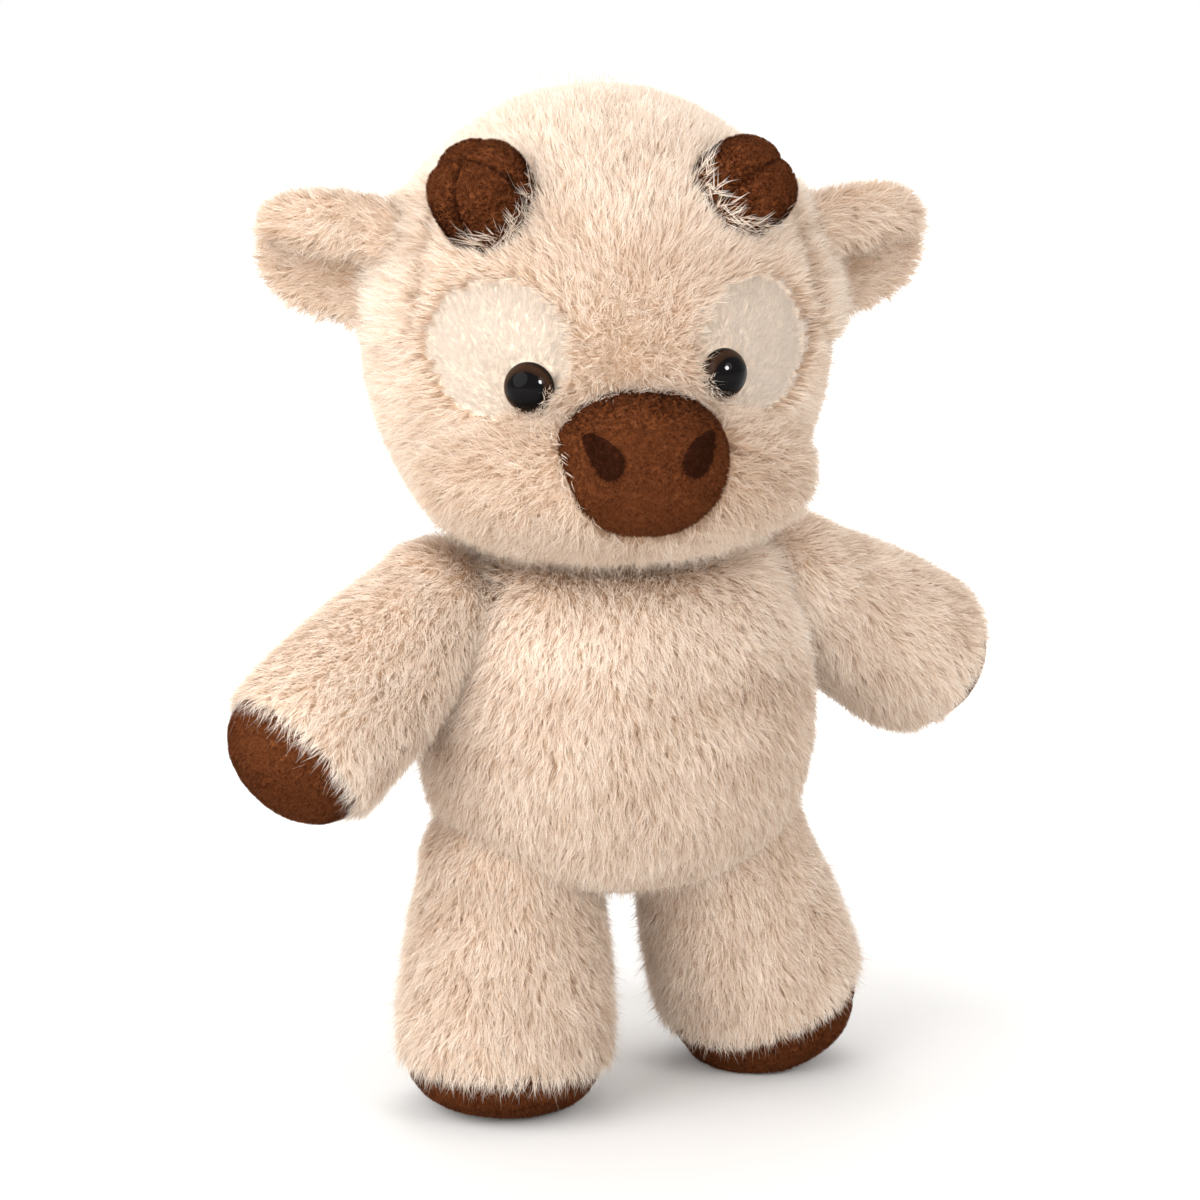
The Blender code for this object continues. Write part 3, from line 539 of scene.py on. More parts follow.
def scatter(mesh, per_mm2, rng):
    """Random places on a mesh with their outward ways, even over its area."""
    mesh.calc_loop_triangles()
    co, normal = read(mesh.vertices, "co"), read(mesh.vertices, "normal")
    tri = read(mesh.loop_triangles, "vertices", np.int32)
    a, b, c = co[tri[:, 0]], co[tri[:, 1]], co[tri[:, 2]]
    area = 0.5 * np.linalg.norm(np.cross(b - a, c - a), axis=1)
    count = int(area.sum() * 1e6 * per_mm2)
    edge = np.cumsum(area)
    spots = (np.arange(count) + rng.uniform(size=count)) / count * edge[-1]
    pick = np.minimum(np.searchsorted(edge, spots), len(tri) - 1)
    u = np.sqrt(rng.uniform(size=count))[:, None]
    v = rng.uniform(size=count)[:, None]
    wa, wb, wc = 1 - u, u * (1 - v), u * v
    points = wa * a[pick] + wb * b[pick] + wc * c[pick]
    ways = wa * normal[tri[pick, 0]] + wb * normal[tri[pick, 1]] + wc * normal[tri[pick, 2]]
    return points, unit(ways)


def strands_object(name, material, roots, controls, tips, ups, widths, tones, rng):
    """Tapered strands as one mesh, from root by control to tip, shaded softly by their outward ways, ups."""
    n = len(roots)
    rings = [(1 - t) ** 2 * roots + 2 * t * (1 - t) * controls + t * t * tips for t in LEVELS]
    spin = rng.uniform(-STRAND_TWIST, STRAND_TWIST, n)[:, None]
    points, normals = [], []
    for i, share in enumerate(LEVEL_WIDTHS):
        along = unit(rings[min(i + 1, len(rings) - 1)] - rings[max(i - 1, 0)])
        across = unit(np.cross(along, ups))
        out = unit(np.cross(across, along))
        across = across * np.cos(spin) + out * np.sin(spin)
        out = np.cross(across, along)
        out *= np.sign(np.sum(out * ups, axis=1, keepdims=True) + 1e-9)
        soft = unit(0.62 * ups + 0.38 * out)
        half = 0.5 * share * widths[:, None] * across
        pair = [rings[i] - half, rings[i] + half] if share > 0.0 else [rings[i]]
        points += pair
        normals += [soft] * len(pair)
    points, normals = np.stack(points, axis=1), np.stack(normals, axis=1)
    points[..., 2] = np.maximum(points[..., 2], LOWEST_POINT)
    mesh = bpy.data.meshes.new(name)
    mesh.vertices.add(5 * n)
    mesh.vertices.foreach_set("co", points.astype(np.float32).ravel())
    strand = np.arange(n, dtype=np.int32)[:, None]
    mesh.loops.add(7 * n)
    mesh.loops.foreach_set("vertex_index", (5 * strand + np.array([0, 1, 3, 2, 2, 3, 4], np.int32)).ravel())
    mesh.polygons.add(2 * n)
    mesh.polygons.foreach_set("loop_start", (7 * strand + np.array([0, 4], np.int32)).ravel())
    mesh.update(calc_edges=True)
    cell = np.floor(np.clip(tones, 0.0, 0.999) * TONES)
    left, right = (cell + 0.08) / TONES, (cell + 0.92) / TONES
    middle = (left + right) / 2
    low, mid, high = np.full(n, 0.01), np.full(n, 0.5), np.full(n, 0.99)
    uv = np.stack([left, low, right, low, right, mid, left, mid, left, mid, right, mid, middle, high], axis=1)
    mesh.uv_layers.new(name="OFBake").data.foreach_set("uv", uv.astype(np.float32).ravel())
    mesh.shade_smooth()
    mesh.normals_split_custom_set_from_vertices(normals.reshape(-1, 3).astype(np.float32))
    mesh.materials.append(material)
    return linked(name, mesh)


def pile(
    name, body, source, comb, keep=None, seed=1, material=LONG_PILE, height=4.9 * MM, reach=6.0 * MM,
    per_mm2=0.60, each=5, radius=0.60 * MM, width=0.27 * MM, pull=0.24, swirl=0.30, ruffle=0.30, mess=None,
    shape=lambda points, ways: (1.0, 1.0), tone_shift=lambda points: 0.0, stray_share=0.22,
):
    """Locks of strands on a cover. comb gives the pile's lie, keep says where it grows, shape scales it."""
    rng = np.random.default_rng(seed)
    centres, ways = scatter(source.data, per_mm2, rng)
    if keep is not None:
        kept = keep(centres, ways)
        centres, ways = centres[kept], ways[kept]
    n = len(centres)
    combs = comb(centres, ways)
    combs = unit(combs - ways * np.sum(combs * ways, axis=1, keepdims=True))
    angles = swirl * wave_noise(centres, SWIRL_SPAN, seed + 11) + ruffle * rng.normal(size=n)
    if mess is not None:
        angles += mess(centres) * rng.normal(size=n)
    combs = combs * np.cos(angles)[:, None] + np.cross(ways, combs) * np.sin(angles)[:, None]
    sides = np.cross(ways, combs)
    tall, far = shape(centres, ways)
    uneven = 1.0 + 0.10 * wave_noise(centres, HEIGHT_SPAN, seed + 5) + 0.08 * rng.normal(size=n)
    tall = height * tall * uneven
    far = reach * far * (1.0 + 0.16 * rng.normal(size=n))
    offset = rng.normal(size=(n, each, 2)) * radius
    rows = lambda a: np.repeat(a[:, None], each, axis=1)
    c, w, k, s = rows(centres), rows(ways), rows(combs), rows(sides)
    tall = (rows(tall) * (1.0 + 0.12 * rng.normal(size=(n, each))))[..., None]
    far = (rows(far) * (1.0 + 0.18 * rng.normal(size=(n, each))))[..., None]
    roots = c + k * offset[..., :1] + s * offset[..., 1:] - w * ROOT_DEPTH
    loose = 1.0 - pull
    tips = c + w * tall + k * (far + loose * offset[..., :1])
    tips += s * (loose * offset[..., 1:] + rng.normal(size=(n, each, 1)) * 0.35 * MM)
    stray = rng.random((n, each, 1)) < stray_share
    tips += stray * (rng.normal(size=(n, each, 3)) * STRAY_THROW + w * STRAY_RISE)
    bend = rng.normal(size=(n, each, 1)) * 0.5 * MM
    controls = roots + w * (0.85 * tall) + k * (0.22 * far) + s * bend
    tone = 0.62 + 0.10 * wave_noise(centres, TONE_SPAN, seed + 3) + 0.16 * rng.normal(size=n)
    tone = rows(tone + tone_shift(centres)) + 0.24 * rng.normal(size=(n, each))
    wide = width * rng.uniform(0.75, 1.2, size=(n, each)) * np.where(stray[..., 0], 0.7, 1.0)
    parts = max(1, math.ceil(n * each / MOST_STRANDS))
    for i, group in enumerate(np.array_split(np.argsort(centres[:, 2]), parts)):
        part_name = name if parts == 1 else f"{name}_{i + 1}"
        curves = [a[group].reshape(-1, 3) for a in (roots, controls, tips, w)]
        made = strands_object(part_name, material, *curves, wide[group].ravel(), tone[group].ravel(), rng)
        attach(made, body)


def nap(name, body, source, comb, keep, seed, material=BROWN_PILE, per_mm2=1.1, **more):
    """Short, dense velour nap on a brown cover."""
    pile(
        name, body, source, comb, keep, seed, material, height=1.0 * MM, reach=1.1 * MM, per_mm2=per_mm2,
        each=7, radius=0.45 * MM, width=0.18 * MM, pull=0.5, swirl=0.8, ruffle=0.7, stray_share=0.0, **more,
    )


def tufts(name, source, comb, keep, seed, reach, per_mm2):
    """Loose cream strands that lie over the edge of a nose, an eye or a horn."""
    pile(
        name, "head", source, comb, keep, seed, height=1.4 * MM, reach=reach, per_mm2=per_mm2, each=3,
        width=0.36 * MM, pull=0.0, ruffle=0.7, tone_shift=lambda p: 0.2, stray_share=0.25,
    )


def finished(piece, body, nodes):
    """Says what a piece rides on, and hides the solids it stands for."""
    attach(piece, body)
    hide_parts(*nodes)


# Trunk


TORSO_OUTLINE = [(w * TORSO_HALF_WIDTH, TORSO_BOTTOM + h * TORSO_HEIGHT) for w, h in TORSO_SHARES]
TORSO_ROWS = smooth_outline([*TORSO_OUTLINE, (NECK_RADIUS, NECK_HEIGHT)], 72)


def inside_torso(points, depth):
    across = np.hypot(points[:, 0], points[:, 1] / TORSO_SQUEEZE)
    return across < np.interp(points[:, 2], TORSO_ROWS[:, 1], TORSO_ROWS[:, 0], left=0.0, right=0.0) - depth


def joint_place(place, sign):
    return np.array(place) * (sign, 1, 1)


def from_joint(points, place):
    """How far points are from the nearer joint of a pair."""
    return np.linalg.norm(np.column_stack([np.abs(points[:, 0]), points[:, 1:]]) - place, axis=1)


def make_torso():
    closed = np.vstack([TORSO_ROWS, (0.0, NECK_HEIGHT)])
    cover = turned("torso_cover", closed, BACKING, squeeze=TORSO_SQUEEZE, around=96)
    finished(cover, "trunk", ["torso_skin"])
    inner = inset(closed, SKIN + SEAM_GAP)
    inner[-1] = (0.0, inner[-2][1])
    stuffing = turned("torso_stuffing", inner, COTTON, squeeze=TORSO_SQUEEZE, around=48)
    finished(stuffing, "trunk", ["torso_fill"])

    def comb(points, ways):
        lean = 0.65 * (points * (1.0, 1.0 / TORSO_SQUEEZE, 0.0)) / TORSO_HALF_WIDTH
        high = smoothstep((points[:, 2] - 0.165) / 0.05)[:, None]
        return lean * (1.0 + 1.5 * high) + DOWN

    def keep(points, ways):
        """Below the neck seam, and outside the limbs' roots."""
        outside = from_joint(points, SHOULDER) > ARM[0] - 5.0 * MM
        outside &= from_joint(points, HIP) > LEG[0] - 2.0 * MM
        return outside & (points[:, 2] < NECK_HEIGHT - 1.5 * MM)

    def shape(points, ways):
        """The pile is shorter at the bottom, and longer up to the neck and round the shoulders."""
        low = 1.0 - smoothstep((points[:, 2] - TORSO_BOTTOM) / 0.035)
        high = smoothstep((points[:, 2] - SHOULDER[2]) / 0.012)
        wedge = 1.0 - smoothstep((from_joint(points, SHOULDER) - ARM[0] - 3.0 * MM) / (9.0 * MM))
        wedge *= smoothstep((points[:, 2] - SHOULDER[2] + 0.004) / 0.012)
        return 1.0 - 0.45 * low + 0.35 * high + 0.9 * wedge, 1.0 - 0.35 * low

    # Painted light: the top of the trunk under the chin is painted lighter, against the head's shade there
    def tone(points):
        return 0.45 * smoothstep((points[:, 2] - NECK_HEIGHT + 0.050) / 0.030)

    for name, front in (("front", True), ("back", False)):
        half = lambda p, w: keep(p, w) & ((p[:, 1] < 0.0) == front)
        pile(f"torso_pile_{name}", "trunk", cover, comb, half, seed=21 + front, shape=shape, tone_shift=tone)


# Limbs


def limb_outline(form, length, hem_deg):
    """The outline of a limb that hangs down -Z from its joint, and the height of its hem on it."""
    root_radius, end_radius, ball_end, depth, power = form
    turns = [math.radians(ball_end) * i / 5 for i in range(6)]
    points = [(root_radius * math.sin(turn), root_radius * math.cos(turn)) for turn in turns]
    start_radius, start_height = points[-1]
    cap = []
    for degrees in (0.0, hem_deg, *CAP_ANGLES_DEG):
        turn = math.radians(degrees)
        radius = end_radius * max(math.cos(turn), 0.0) ** (2 / power)
        drop = depth * math.sin(turn) ** (2 / power)
        cap.append((0.0 if degrees == 90.0 else radius, depth - length - drop))
    for share in (1 / 3, 2 / 3):
        radius = start_radius + (end_radius - start_radius) * math.sin(share * math.pi / 2)
        points.append((radius, start_height + (cap[0][1] - start_height) * share))
    return points + cap, cap[1][1]


def leg_length(direction, hem_deg):
    lean = math.acos(-direction.z)
    outline, _ = limb_outline(LEG, 0.0, hem_deg)
    reach = max(r * math.sin(lean) - h * math.cos(lean) for r, h in outline[-6:])
    return (HIP[2] + SOLE_FLAT_DEPTH - reach) / math.cos(lean)


def limb_way(sign, down_deg, forward_deg):
    """Way of a limb from how far its way out is turned down and forward."""
    down, forward = math.radians(down_deg), math.radians(forward_deg)
    flat = math.cos(forward)
    return Vector((sign * math.cos(down) * flat, -math.sin(forward), -math.sin(down) * flat))


def make_limb(kind, hoof, side, form, place, way, length, seed):
    body = f"{kind}_{side}"
    centre = joint_place(place, SIDES[side])
    matrix = Matrix.Translation(Vector(centre)) @ way.to_track_quat("-Z", "Y").to_matrix().to_4x4()
    outline, hem = limb_outline(form, length, HEM_DEG[body])
    rows = smooth_outline(outline, 90)
    above = rows[rows[:, 1] >= hem]
    lump = lambda p: p * (1.0 + 0.012 * wave_noise(p, 0.045, seed + 1)[:, None] * (1, 1, 0))
    closed = np.vstack([above, (0.0, above[-1, 1])])
    cover = turned(f"{kind}_cover_{side}", closed, BACKING, matrix=matrix, shape=lump)
    finished(cover, body, [f"{kind}_skin_{side}"])

    def placed(points, lowest):
        """The limb's points in the world, none of them under a height."""
        points = moved(matrix, points)
        points[:, 2] = np.maximum(points[:, 2], lowest)
        return points

    inner = inset(rows, SKIN + SEAM_GAP)
    on_floor = lambda p: placed(p, SKIN + SEAM_GAP)
    stuffing = turned(f"{kind}_stuffing_{side}", inner, COTTON, around=32, shape=on_floor)
    finished(stuffing, body, [f"{kind}_fill_{side}"])

    def cap_shape(points):
        ripple = wave_noise(points * (1.0, 1.0, 2.2), 0.016, seed + 2)[:, None]
        return placed(points * (1.0 + 0.010 * ripple * (1, 1, 0)), 0.0)

    cap_rows = rows[rows[:, 1] < hem + 1.0 * MM]
    cap_rows = evenly(np.vstack([(0.0, cap_rows[0, 1]), cap_rows]), 60)
    cap = turned(f"{hoof}_cover_{side}", cap_rows, BROWN_VELOUR, around=96, shape=cap_shape)
    finished(cap, body, [f"{hoof}_{side}"])

    def height(points):
        """Heights along the limb, from its joint."""
        return moved(matrix.inverted(), points)[:, 2]

    def on_cap(points, ways):
        return (height(points) < hem + 0.5 * MM) & (points[:, 2] > 0.8 * MM)

    def keep(points, ways):
        return ~inside_torso(points, SWING_DEPTH[kind]) & (height(points) > hem + 0.2 * MM)

    def shape(points, ways):
        low = 1.0 - smoothstep((height(points) - hem) / (14.0 * MM))
        high = smoothstep((height(points) + form[0]) / (2.0 * form[0]))
        return 1.0 - 0.20 * low + ROOT_PILE[kind] * high, 1.0 + HEM_REACH[body] * low

    # Painted light: the arm's pile is painted lighter, and more so at the shoulder, in the chin's shade
    def tone(points):
        return LIMB_PAINTED_LIGHT[body] + ROOT_PAINTED_LIGHT[kind] * smoothstep((height(points) + 0.045) / 0.050)

    along = np.array(way)
    nap(f"{hoof}_nap_{side}", body, cap, lambda p, w: along, on_cap, seed + 60)
    comb = lambda p, w: along + 0.35 * DOWN
    pile(f"{kind}_pile_{side}", body, cover, comb, keep, seed, shape=shape, tone_shift=tone)


def make_limbs():
    for i, (side, sign) in enumerate(SIDES.items()):
        way = limb_way(sign, ARM_DOWN_DEG[side], ARM_FORWARD_DEG[side])
        make_limb("arm", "hand_hoof", side, ARM, SHOULDER, way, ARM_LENGTH[side], 31 + i)
        way = limb_way(sign, 90.0 - LEG_SPLAY_DEG[side], LEG_FORWARD_DEG[side])
        make_limb("leg", "foot_hoof", side, LEG, HIP, way, leg_length(way, HEM_DEG[f"leg_{side}"]), 41 + i)


# Tail


def make_tail():
    tilt = Euler((math.radians(TAIL_TILT_DEG), 0.0, 0.0)).to_matrix().to_4x4()
    matrix = Matrix.Translation(TAIL_ROOT) @ tilt
    turns = [math.radians(degrees) for degrees in (0, 30, 60, 90, 126)]
    points = [(TAIL_ROOT_RADIUS * math.sin(turn), TAIL_ROOT_RADIUS * math.cos(turn)) for turn in turns]
    points += [(TAIL_RADIUS, -TAIL_LENGTH / 2), (TAIL_RADIUS, -TAIL_LENGTH * 0.98), (0.0, -TAIL_LENGTH)]
    tube = turned("tail_cord_cover", smooth_outline(points, 40), BACKING, around=20, matrix=matrix)
    finished(tube, "tail", ["tail_tube"])
    start = -TAIL_LENGTH - SEAM_GAP
    rows = smooth_outline([(w * TUFT_RADIUS, start - h * TUFT_LENGTH) for w, h in TUFT_SHARES], 30)
    tuft = turned("tail_tuft_cover", rows, BACKING, around=24, matrix=matrix)
    finished(tuft, "tail", ["tail_tuft"])
    way = np.array(matrix.to_3x3() @ Vector(DOWN))
    comb = lambda p, w: way
    pile(
        "tail_cord_pile", "tail", tube, comb, seed=61, height=1.6 * MM, reach=5.0 * MM, per_mm2=0.5,
        width=0.35 * MM,
    )
    pile("tail_tuft_pile", "tail", tuft, comb, seed=62, height=2.6 * MM, reach=9.0 * MM)


# Head


HEAD_TURN = Matrix.Rotation(math.radians(HEAD_TURN_DEG), 4, "Z")
HEAD_MATRIX = Matrix.Translation((0.0, 0.0, NECK_HEIGHT)) @ HEAD_TURN
HEAD_PLACE = HEAD_MATRIX @ Matrix.Translation(Vector(HEAD_CENTRE))


def to_head(points):
    """World points in the head's frame, measured from its centre."""
    return moved(HEAD_MATRIX.inverted(), points) - HEAD_CENTRE


def from_head(points):
    return moved(HEAD_MATRIX, np.asarray(points, float) + HEAD_CENTRE)


def head_ways(ways):
    """Ways in the head's frame, turned into the world."""
    return swung(HEAD_MATRIX, ways)


def skull_reach(ways, grow=0.0):
    half = np.where(ways[:, 2:] > 0.0, HEAD_HALF, HEAD_HALF_LOWER) + grow
    return 1.0 / np.sqrt(np.sum((ways / half) ** 2, axis=1))


def muzzle_reach(ways, grow=0.0):
    half = MUZZLE_HALF + grow
    a = np.sum((ways / half) ** 2, axis=1)
    b = np.sum(ways * MUZZLE_CENTRE / half**2, axis=1)
    c = np.sum((MUZZLE_CENTRE / half) ** 2) - 1.0
    inside = b * b - a * c
    return np.where((inside > 0.0) & (b > 0.0), (b + np.sqrt(np.maximum(inside, 0.0))) / a, 0.0)


def skull_point(azimuth_deg, height):
    """A point on the skull from its centre, and the way out there, in the head's frame."""
    half = HEAD_HALF if height > 0.0 else HEAD_HALF_LOWER
    share = math.sqrt(1.0 - (height / half[2]) ** 2)
    azimuth = math.radians(azimuth_deg)
    point = np.array((math.sin(azimuth) * half[0] * share, -math.cos(azimuth) * half[1] * share, height))
    return point, unit(point / half**2)


PATCH_PLACES, EYE_PLACES = {}, {}
for side, sign in SIDES.items():
    PATCH_PLACES[side] = facing(*skull_point(sign * PATCH_AZIMUTH_DEG, PATCH_RISE))
    EYE_PLACES[side] = facing(*skull_point(sign * EYE_AZIMUTH_DEG[side], -EYE_DROP[side]))


def patch_share(local, side):
    """0 at the middle of an eye patch and 1 at its edge, for points in the head's frame."""
    p = moved(PATCH_PLACES[side].inverted(), local)
    return np.where(p[:, 2] > -0.03, np.hypot(p[:, 0] / PATCH_HALF[0], p[:, 1] / PATCH_HALF[1]), FAR_AWAY)


def nearest_patch(local):
    return np.minimum(patch_share(local, "left"), patch_share(local, "right"))


def head_reach(ways, grow=0.0, crease=0.0):
    """How far the head's cover reaches along ways from its centre, with or without the muzzle's seam."""
    skull, bulge = skull_reach(ways, grow), muzzle_reach(ways, grow)
    return np.maximum(skull, bulge) - crease * bell((skull - bulge) / MUZZLE_CREASE_WIDTH)


def head_form(name, material, grow, rings, around):
    """The head's cover, or a form inside it, with its seam, sunk eye patches, flat neck and lifted chin."""
    ways = round_ways(rings, around)
    grid = head_reach(ways, grow, MUZZLE_CREASE).reshape(rings, around)
    for _ in range(2):
        padded = np.vstack([grid[:1], grid, grid[-1:]])
        grid = 0.5 * grid + 0.125 * (padded[:-2] + padded[2:] + np.roll(grid, 1, 1) + np.roll(grid, -1, 1))
    reach = grid.ravel()
    points = ways * reach[:, None]
    for side in SIDES:
        reach = reach - PATCH_SINK * smoothstep((1.04 - patch_share(points, side)) / 0.12)
    bottom = -HEAD_CENTRE[2] + SEAM_GAP + max(-grow, 0.0)
    down = ways[:, 2] < -0.2
    limit = np.where(down, bottom / np.where(down, ways[:, 2], -1.0), FAR_AWAY)
    points = ways * np.minimum(reach, limit)[:, None]
    under = np.minimum(points[:, 2] - MUZZLE_CENTRE[2], 0.0)
    points[:, 2] -= CHIN_LIFT * under * smoothstep((-points[:, 1] - 0.012) / 0.030)
    return object_from(name, from_head(points), grid_faces(rings, around), material)


def in_muzzle(local):
    ways = unit(local)
    return muzzle_reach(ways) > skull_reach(ways)


def head_comb(points, ways):
    """The lie of the head's pile: away from the bridge of the nose, and down the back."""
    local = to_head(points)
    back = smoothstep((local[:, 1] + 0.01) / 0.06)[:, None]
    below = smoothstep((-0.030 - local[:, 2]) / 0.03)[:, None]
    combs = unit(local - BRIDGE) * (1.0 - back) + np.array((0.0, 0.25, -1.0)) * back
    return head_ways(combs + 0.8 * DOWN * below)


def muzzle_comb(points, ways):
    local = to_head(points)
    away = unit((local - NOSE_CENTRE) * (1.0, 0.6, 1.0))
    down = smoothstep((-0.015 - local[:, 2]) / 0.03)[:, None]
    seam = np.sign(local[:, 0]) * bell(local[:, 0] / (4.0 * MM)) * (local[:, 2] < NOSE_CENTRE[2])
    return head_ways(away + 0.9 * DOWN * down + np.outer(0.9 * seam, (1.0, 0.0, 0.0)))


def on_head_cover(points, ways):
    """Where the head's pile grows: above the neck seam, and outside the horns and the nose."""
    local = to_head(points)
    kept = local[:, 2] > -HEAD_CENTRE[2] + 1.0 * MM
    for side in SIDES:
        off, axis = local - HORN_BASE[side], unit(HORN_WAY[side])
        beside = np.linalg.norm(off - np.outer(off @ axis, axis), axis=1)
        kept &= ~((beside < HORN_RADIUS - 1.5 * MM) & (off @ axis > -0.02))
    nose_half = NOSE_HALF - 0.6 * MM
    return kept & (np.sum(np.abs((local - NOSE_CENTRE) / nose_half) ** NOSE_POWER, axis=1) > 1.0)


def crown(local):
    """1 at the top of the head, where the pile parts."""
    return bell(local[:, 0] / 0.045, (local[:, 2] - HEAD_HALF[2]) / 0.030)


def head_shape(points, ways):
    """Longer pile round the eye patches and at the crown, shorter between the eyes."""
    local = to_head(points)
    rim = bell((nearest_patch(local) - 1.0) / 0.16)
    between = bell(local[:, 0] / 0.020, (local[:, 2] - 0.002) / 0.026) * (local[:, 1] < 0.0)
    top = crown(local)
    return 0.97 + 0.25 * rim - 0.18 * between + 0.15 * top, 1.0 - 0.30 * rim - 0.35 * between - 0.3 * top


def head_mess(points):
    """How tangled the pile is: most on the brow, and some at the crown."""
    local = to_head(points)
    return 1.5 * bell(*((local - BROW) / BROW_HALF).T) + 0.5 * crown(local)


# Painted light: the top of the head is painted lighter, where the light from above falls; the pile is also
# darker where it is tangled
def head_painted_light_and_tangle(points):
    return 0.28 * smoothstep((to_head(points)[:, 2] - 0.035) / 0.035) - 0.10 * head_mess(points)


def muzzle_shape(points, ways):
    below = smoothstep((-0.050 - to_head(points)[:, 2]) / 0.020)
    return 1.0 - 0.25 * below, 1.0 + 0.15 * below


def make_head():
    whole = head_form("head_whole", BACKING, 0.0, *HEAD_GRID)
    in_patch = lambda m: nearest_patch(to_head(m)) < 1.0
    cover = part_of(whole, "head_cover", BACKING, lambda m: ~in_patch(m) & ~in_muzzle(to_head(m)))
    finished(cover, "head", ["head_skin"])
    muzzle = part_of(whole, "muzzle_cover", BACKING, lambda m: ~in_patch(m) & in_muzzle(to_head(m)))
    finished(muzzle, "head", ["muzzle_skin"])
    stuffing = head_form("head_stuffing", COTTON, -SKIN - SEAM_GAP, *HEAD_FILL_GRID)
    finished(stuffing, "head", ["head_fill"])
    patches = {}
    for side in SIDES:
        wanted = lambda m: patch_share(to_head(m), side) < 1.0
        patches[side] = part_of(whole, f"eye_patch_cover_{side}", PATCH_CLOTH, wanted)
        finished(patches[side], "head", [f"eye_patch_{side}"])
    bpy.data.objects.remove(whole)

    for i, (name, low, high) in enumerate(HEAD_SECTORS):
        def in_sector(p, w):
            local = to_head(p)
            turn = np.degrees(np.arctan2(local[:, 1], local[:, 0])) % 360.0
            turn = np.where(turn > 300.0, turn - 360.0, turn)
            return on_head_cover(p, w) & (turn >= low) & (turn < high)

        pile(
            f"head_pile_{name}", "head", cover, head_comb, in_sector, 71 + i, shape=head_shape,
            mess=head_mess, tone_shift=head_painted_light_and_tangle,
        )
    # Painted shade: the muzzle's pile is painted a little darker all over, against the key lamp's strong
    # light on the near cheek
    pile(
        "muzzle_pile", "head", muzzle, muzzle_comb, on_head_cover, 76, height=5.4 * MM, ruffle=0.80,
        shape=muzzle_shape, tone_shift=lambda p: -0.14, stray_share=0.45,
    )
    for i, side in enumerate(SIDES):
        eye = np.array(EYE_PLACES[side].translation)
        off_eye = lambda p, w: np.linalg.norm(to_head(p) - eye, axis=1) > EYE_RADIUS - 0.6 * MM
        patch_comb = lambda p, w: head_ways(to_head(p) - eye + np.array((0.0, 0.0, 0.02)))
        pile(
            f"eye_patch_pile_{side}", "head", patches[side], patch_comb, off_eye, 81 + i, SHORT_PILE,
            height=1.0 * MM, reach=3.4 * MM, per_mm2=2.0, each=4, radius=0.45 * MM, width=0.17 * MM, pull=0.0,
            swirl=0.15, ruffle=0.18, stray_share=0.0,
        )
    for side, sign in SIDES.items():
        ear = ear_matrix(side)

        def from_root(p):
            """How far points are from an ear's root, in shares of its oval."""
            return (moved(ear.inverted(), p)[:, 1:] - EAR_ROOT_MIDDLE) / EAR_ROOT_HALF

        def by_ear(p, w):
            return (np.hypot(*from_root(p).T) < 1.25) & (np.abs(moved(ear.inverted(), p)[:, 0]) < 0.025)

        def ear_root_comb(p, w):
            q = moved(ear.inverted(), p)
            spread = np.column_stack([0.0 * q[:, 0], q[:, 1:] / EAR_ROOT_HALF])
            return np.array(ear)[:3, 0] * sign - 0.5 * swung(ear, spread)

        pile(
            f"ear_root_tufts_{side}", "head", cover, ear_root_comb, by_ear, 133 + sign, height=10.5 * MM,
            reach=5.5 * MM, per_mm2=0.8, ruffle=0.6, tone_shift=lambda p: 0.1,
        )


def above_skin(p):
    """How far points stand out from the head's cover."""
    local = to_head(p)
    return np.linalg.norm(local, axis=1) - head_reach(unit(local))


def nostril_ways(sign):
    """The long way and the wide way of a nostril, as (across, up) on the nose."""
    lean = sign * math.radians(NOSTRIL_LEAN_DEG)
    return np.array((math.sin(lean), math.cos(lean))), np.array((math.cos(lean), -math.sin(lean)))


def inside_nostril(local, edge):
    """Whether points on the nose, in the head's frame, are inside a nostril's outline."""
    inside = np.zeros(len(local), bool)
    for sign in SIDES.values():
        long_way, wide_way = nostril_ways(sign)
        off = local[:, [0, 2]] - NOSE_CENTRE[[0, 2]] - (sign * NOSTRIL_SIDE, NOSTRIL_RISE)
        v = off @ long_way / NOSTRIL_HALF_LENGTH
        u = off @ wide_way / NOSTRIL_HALF_WIDTH - NOSTRIL_BEND * sign * (v * v - 0.3)
        inside |= np.hypot(u / np.maximum(1.0 - NOSTRIL_TAPER * v, 0.2), v) < edge
    return inside


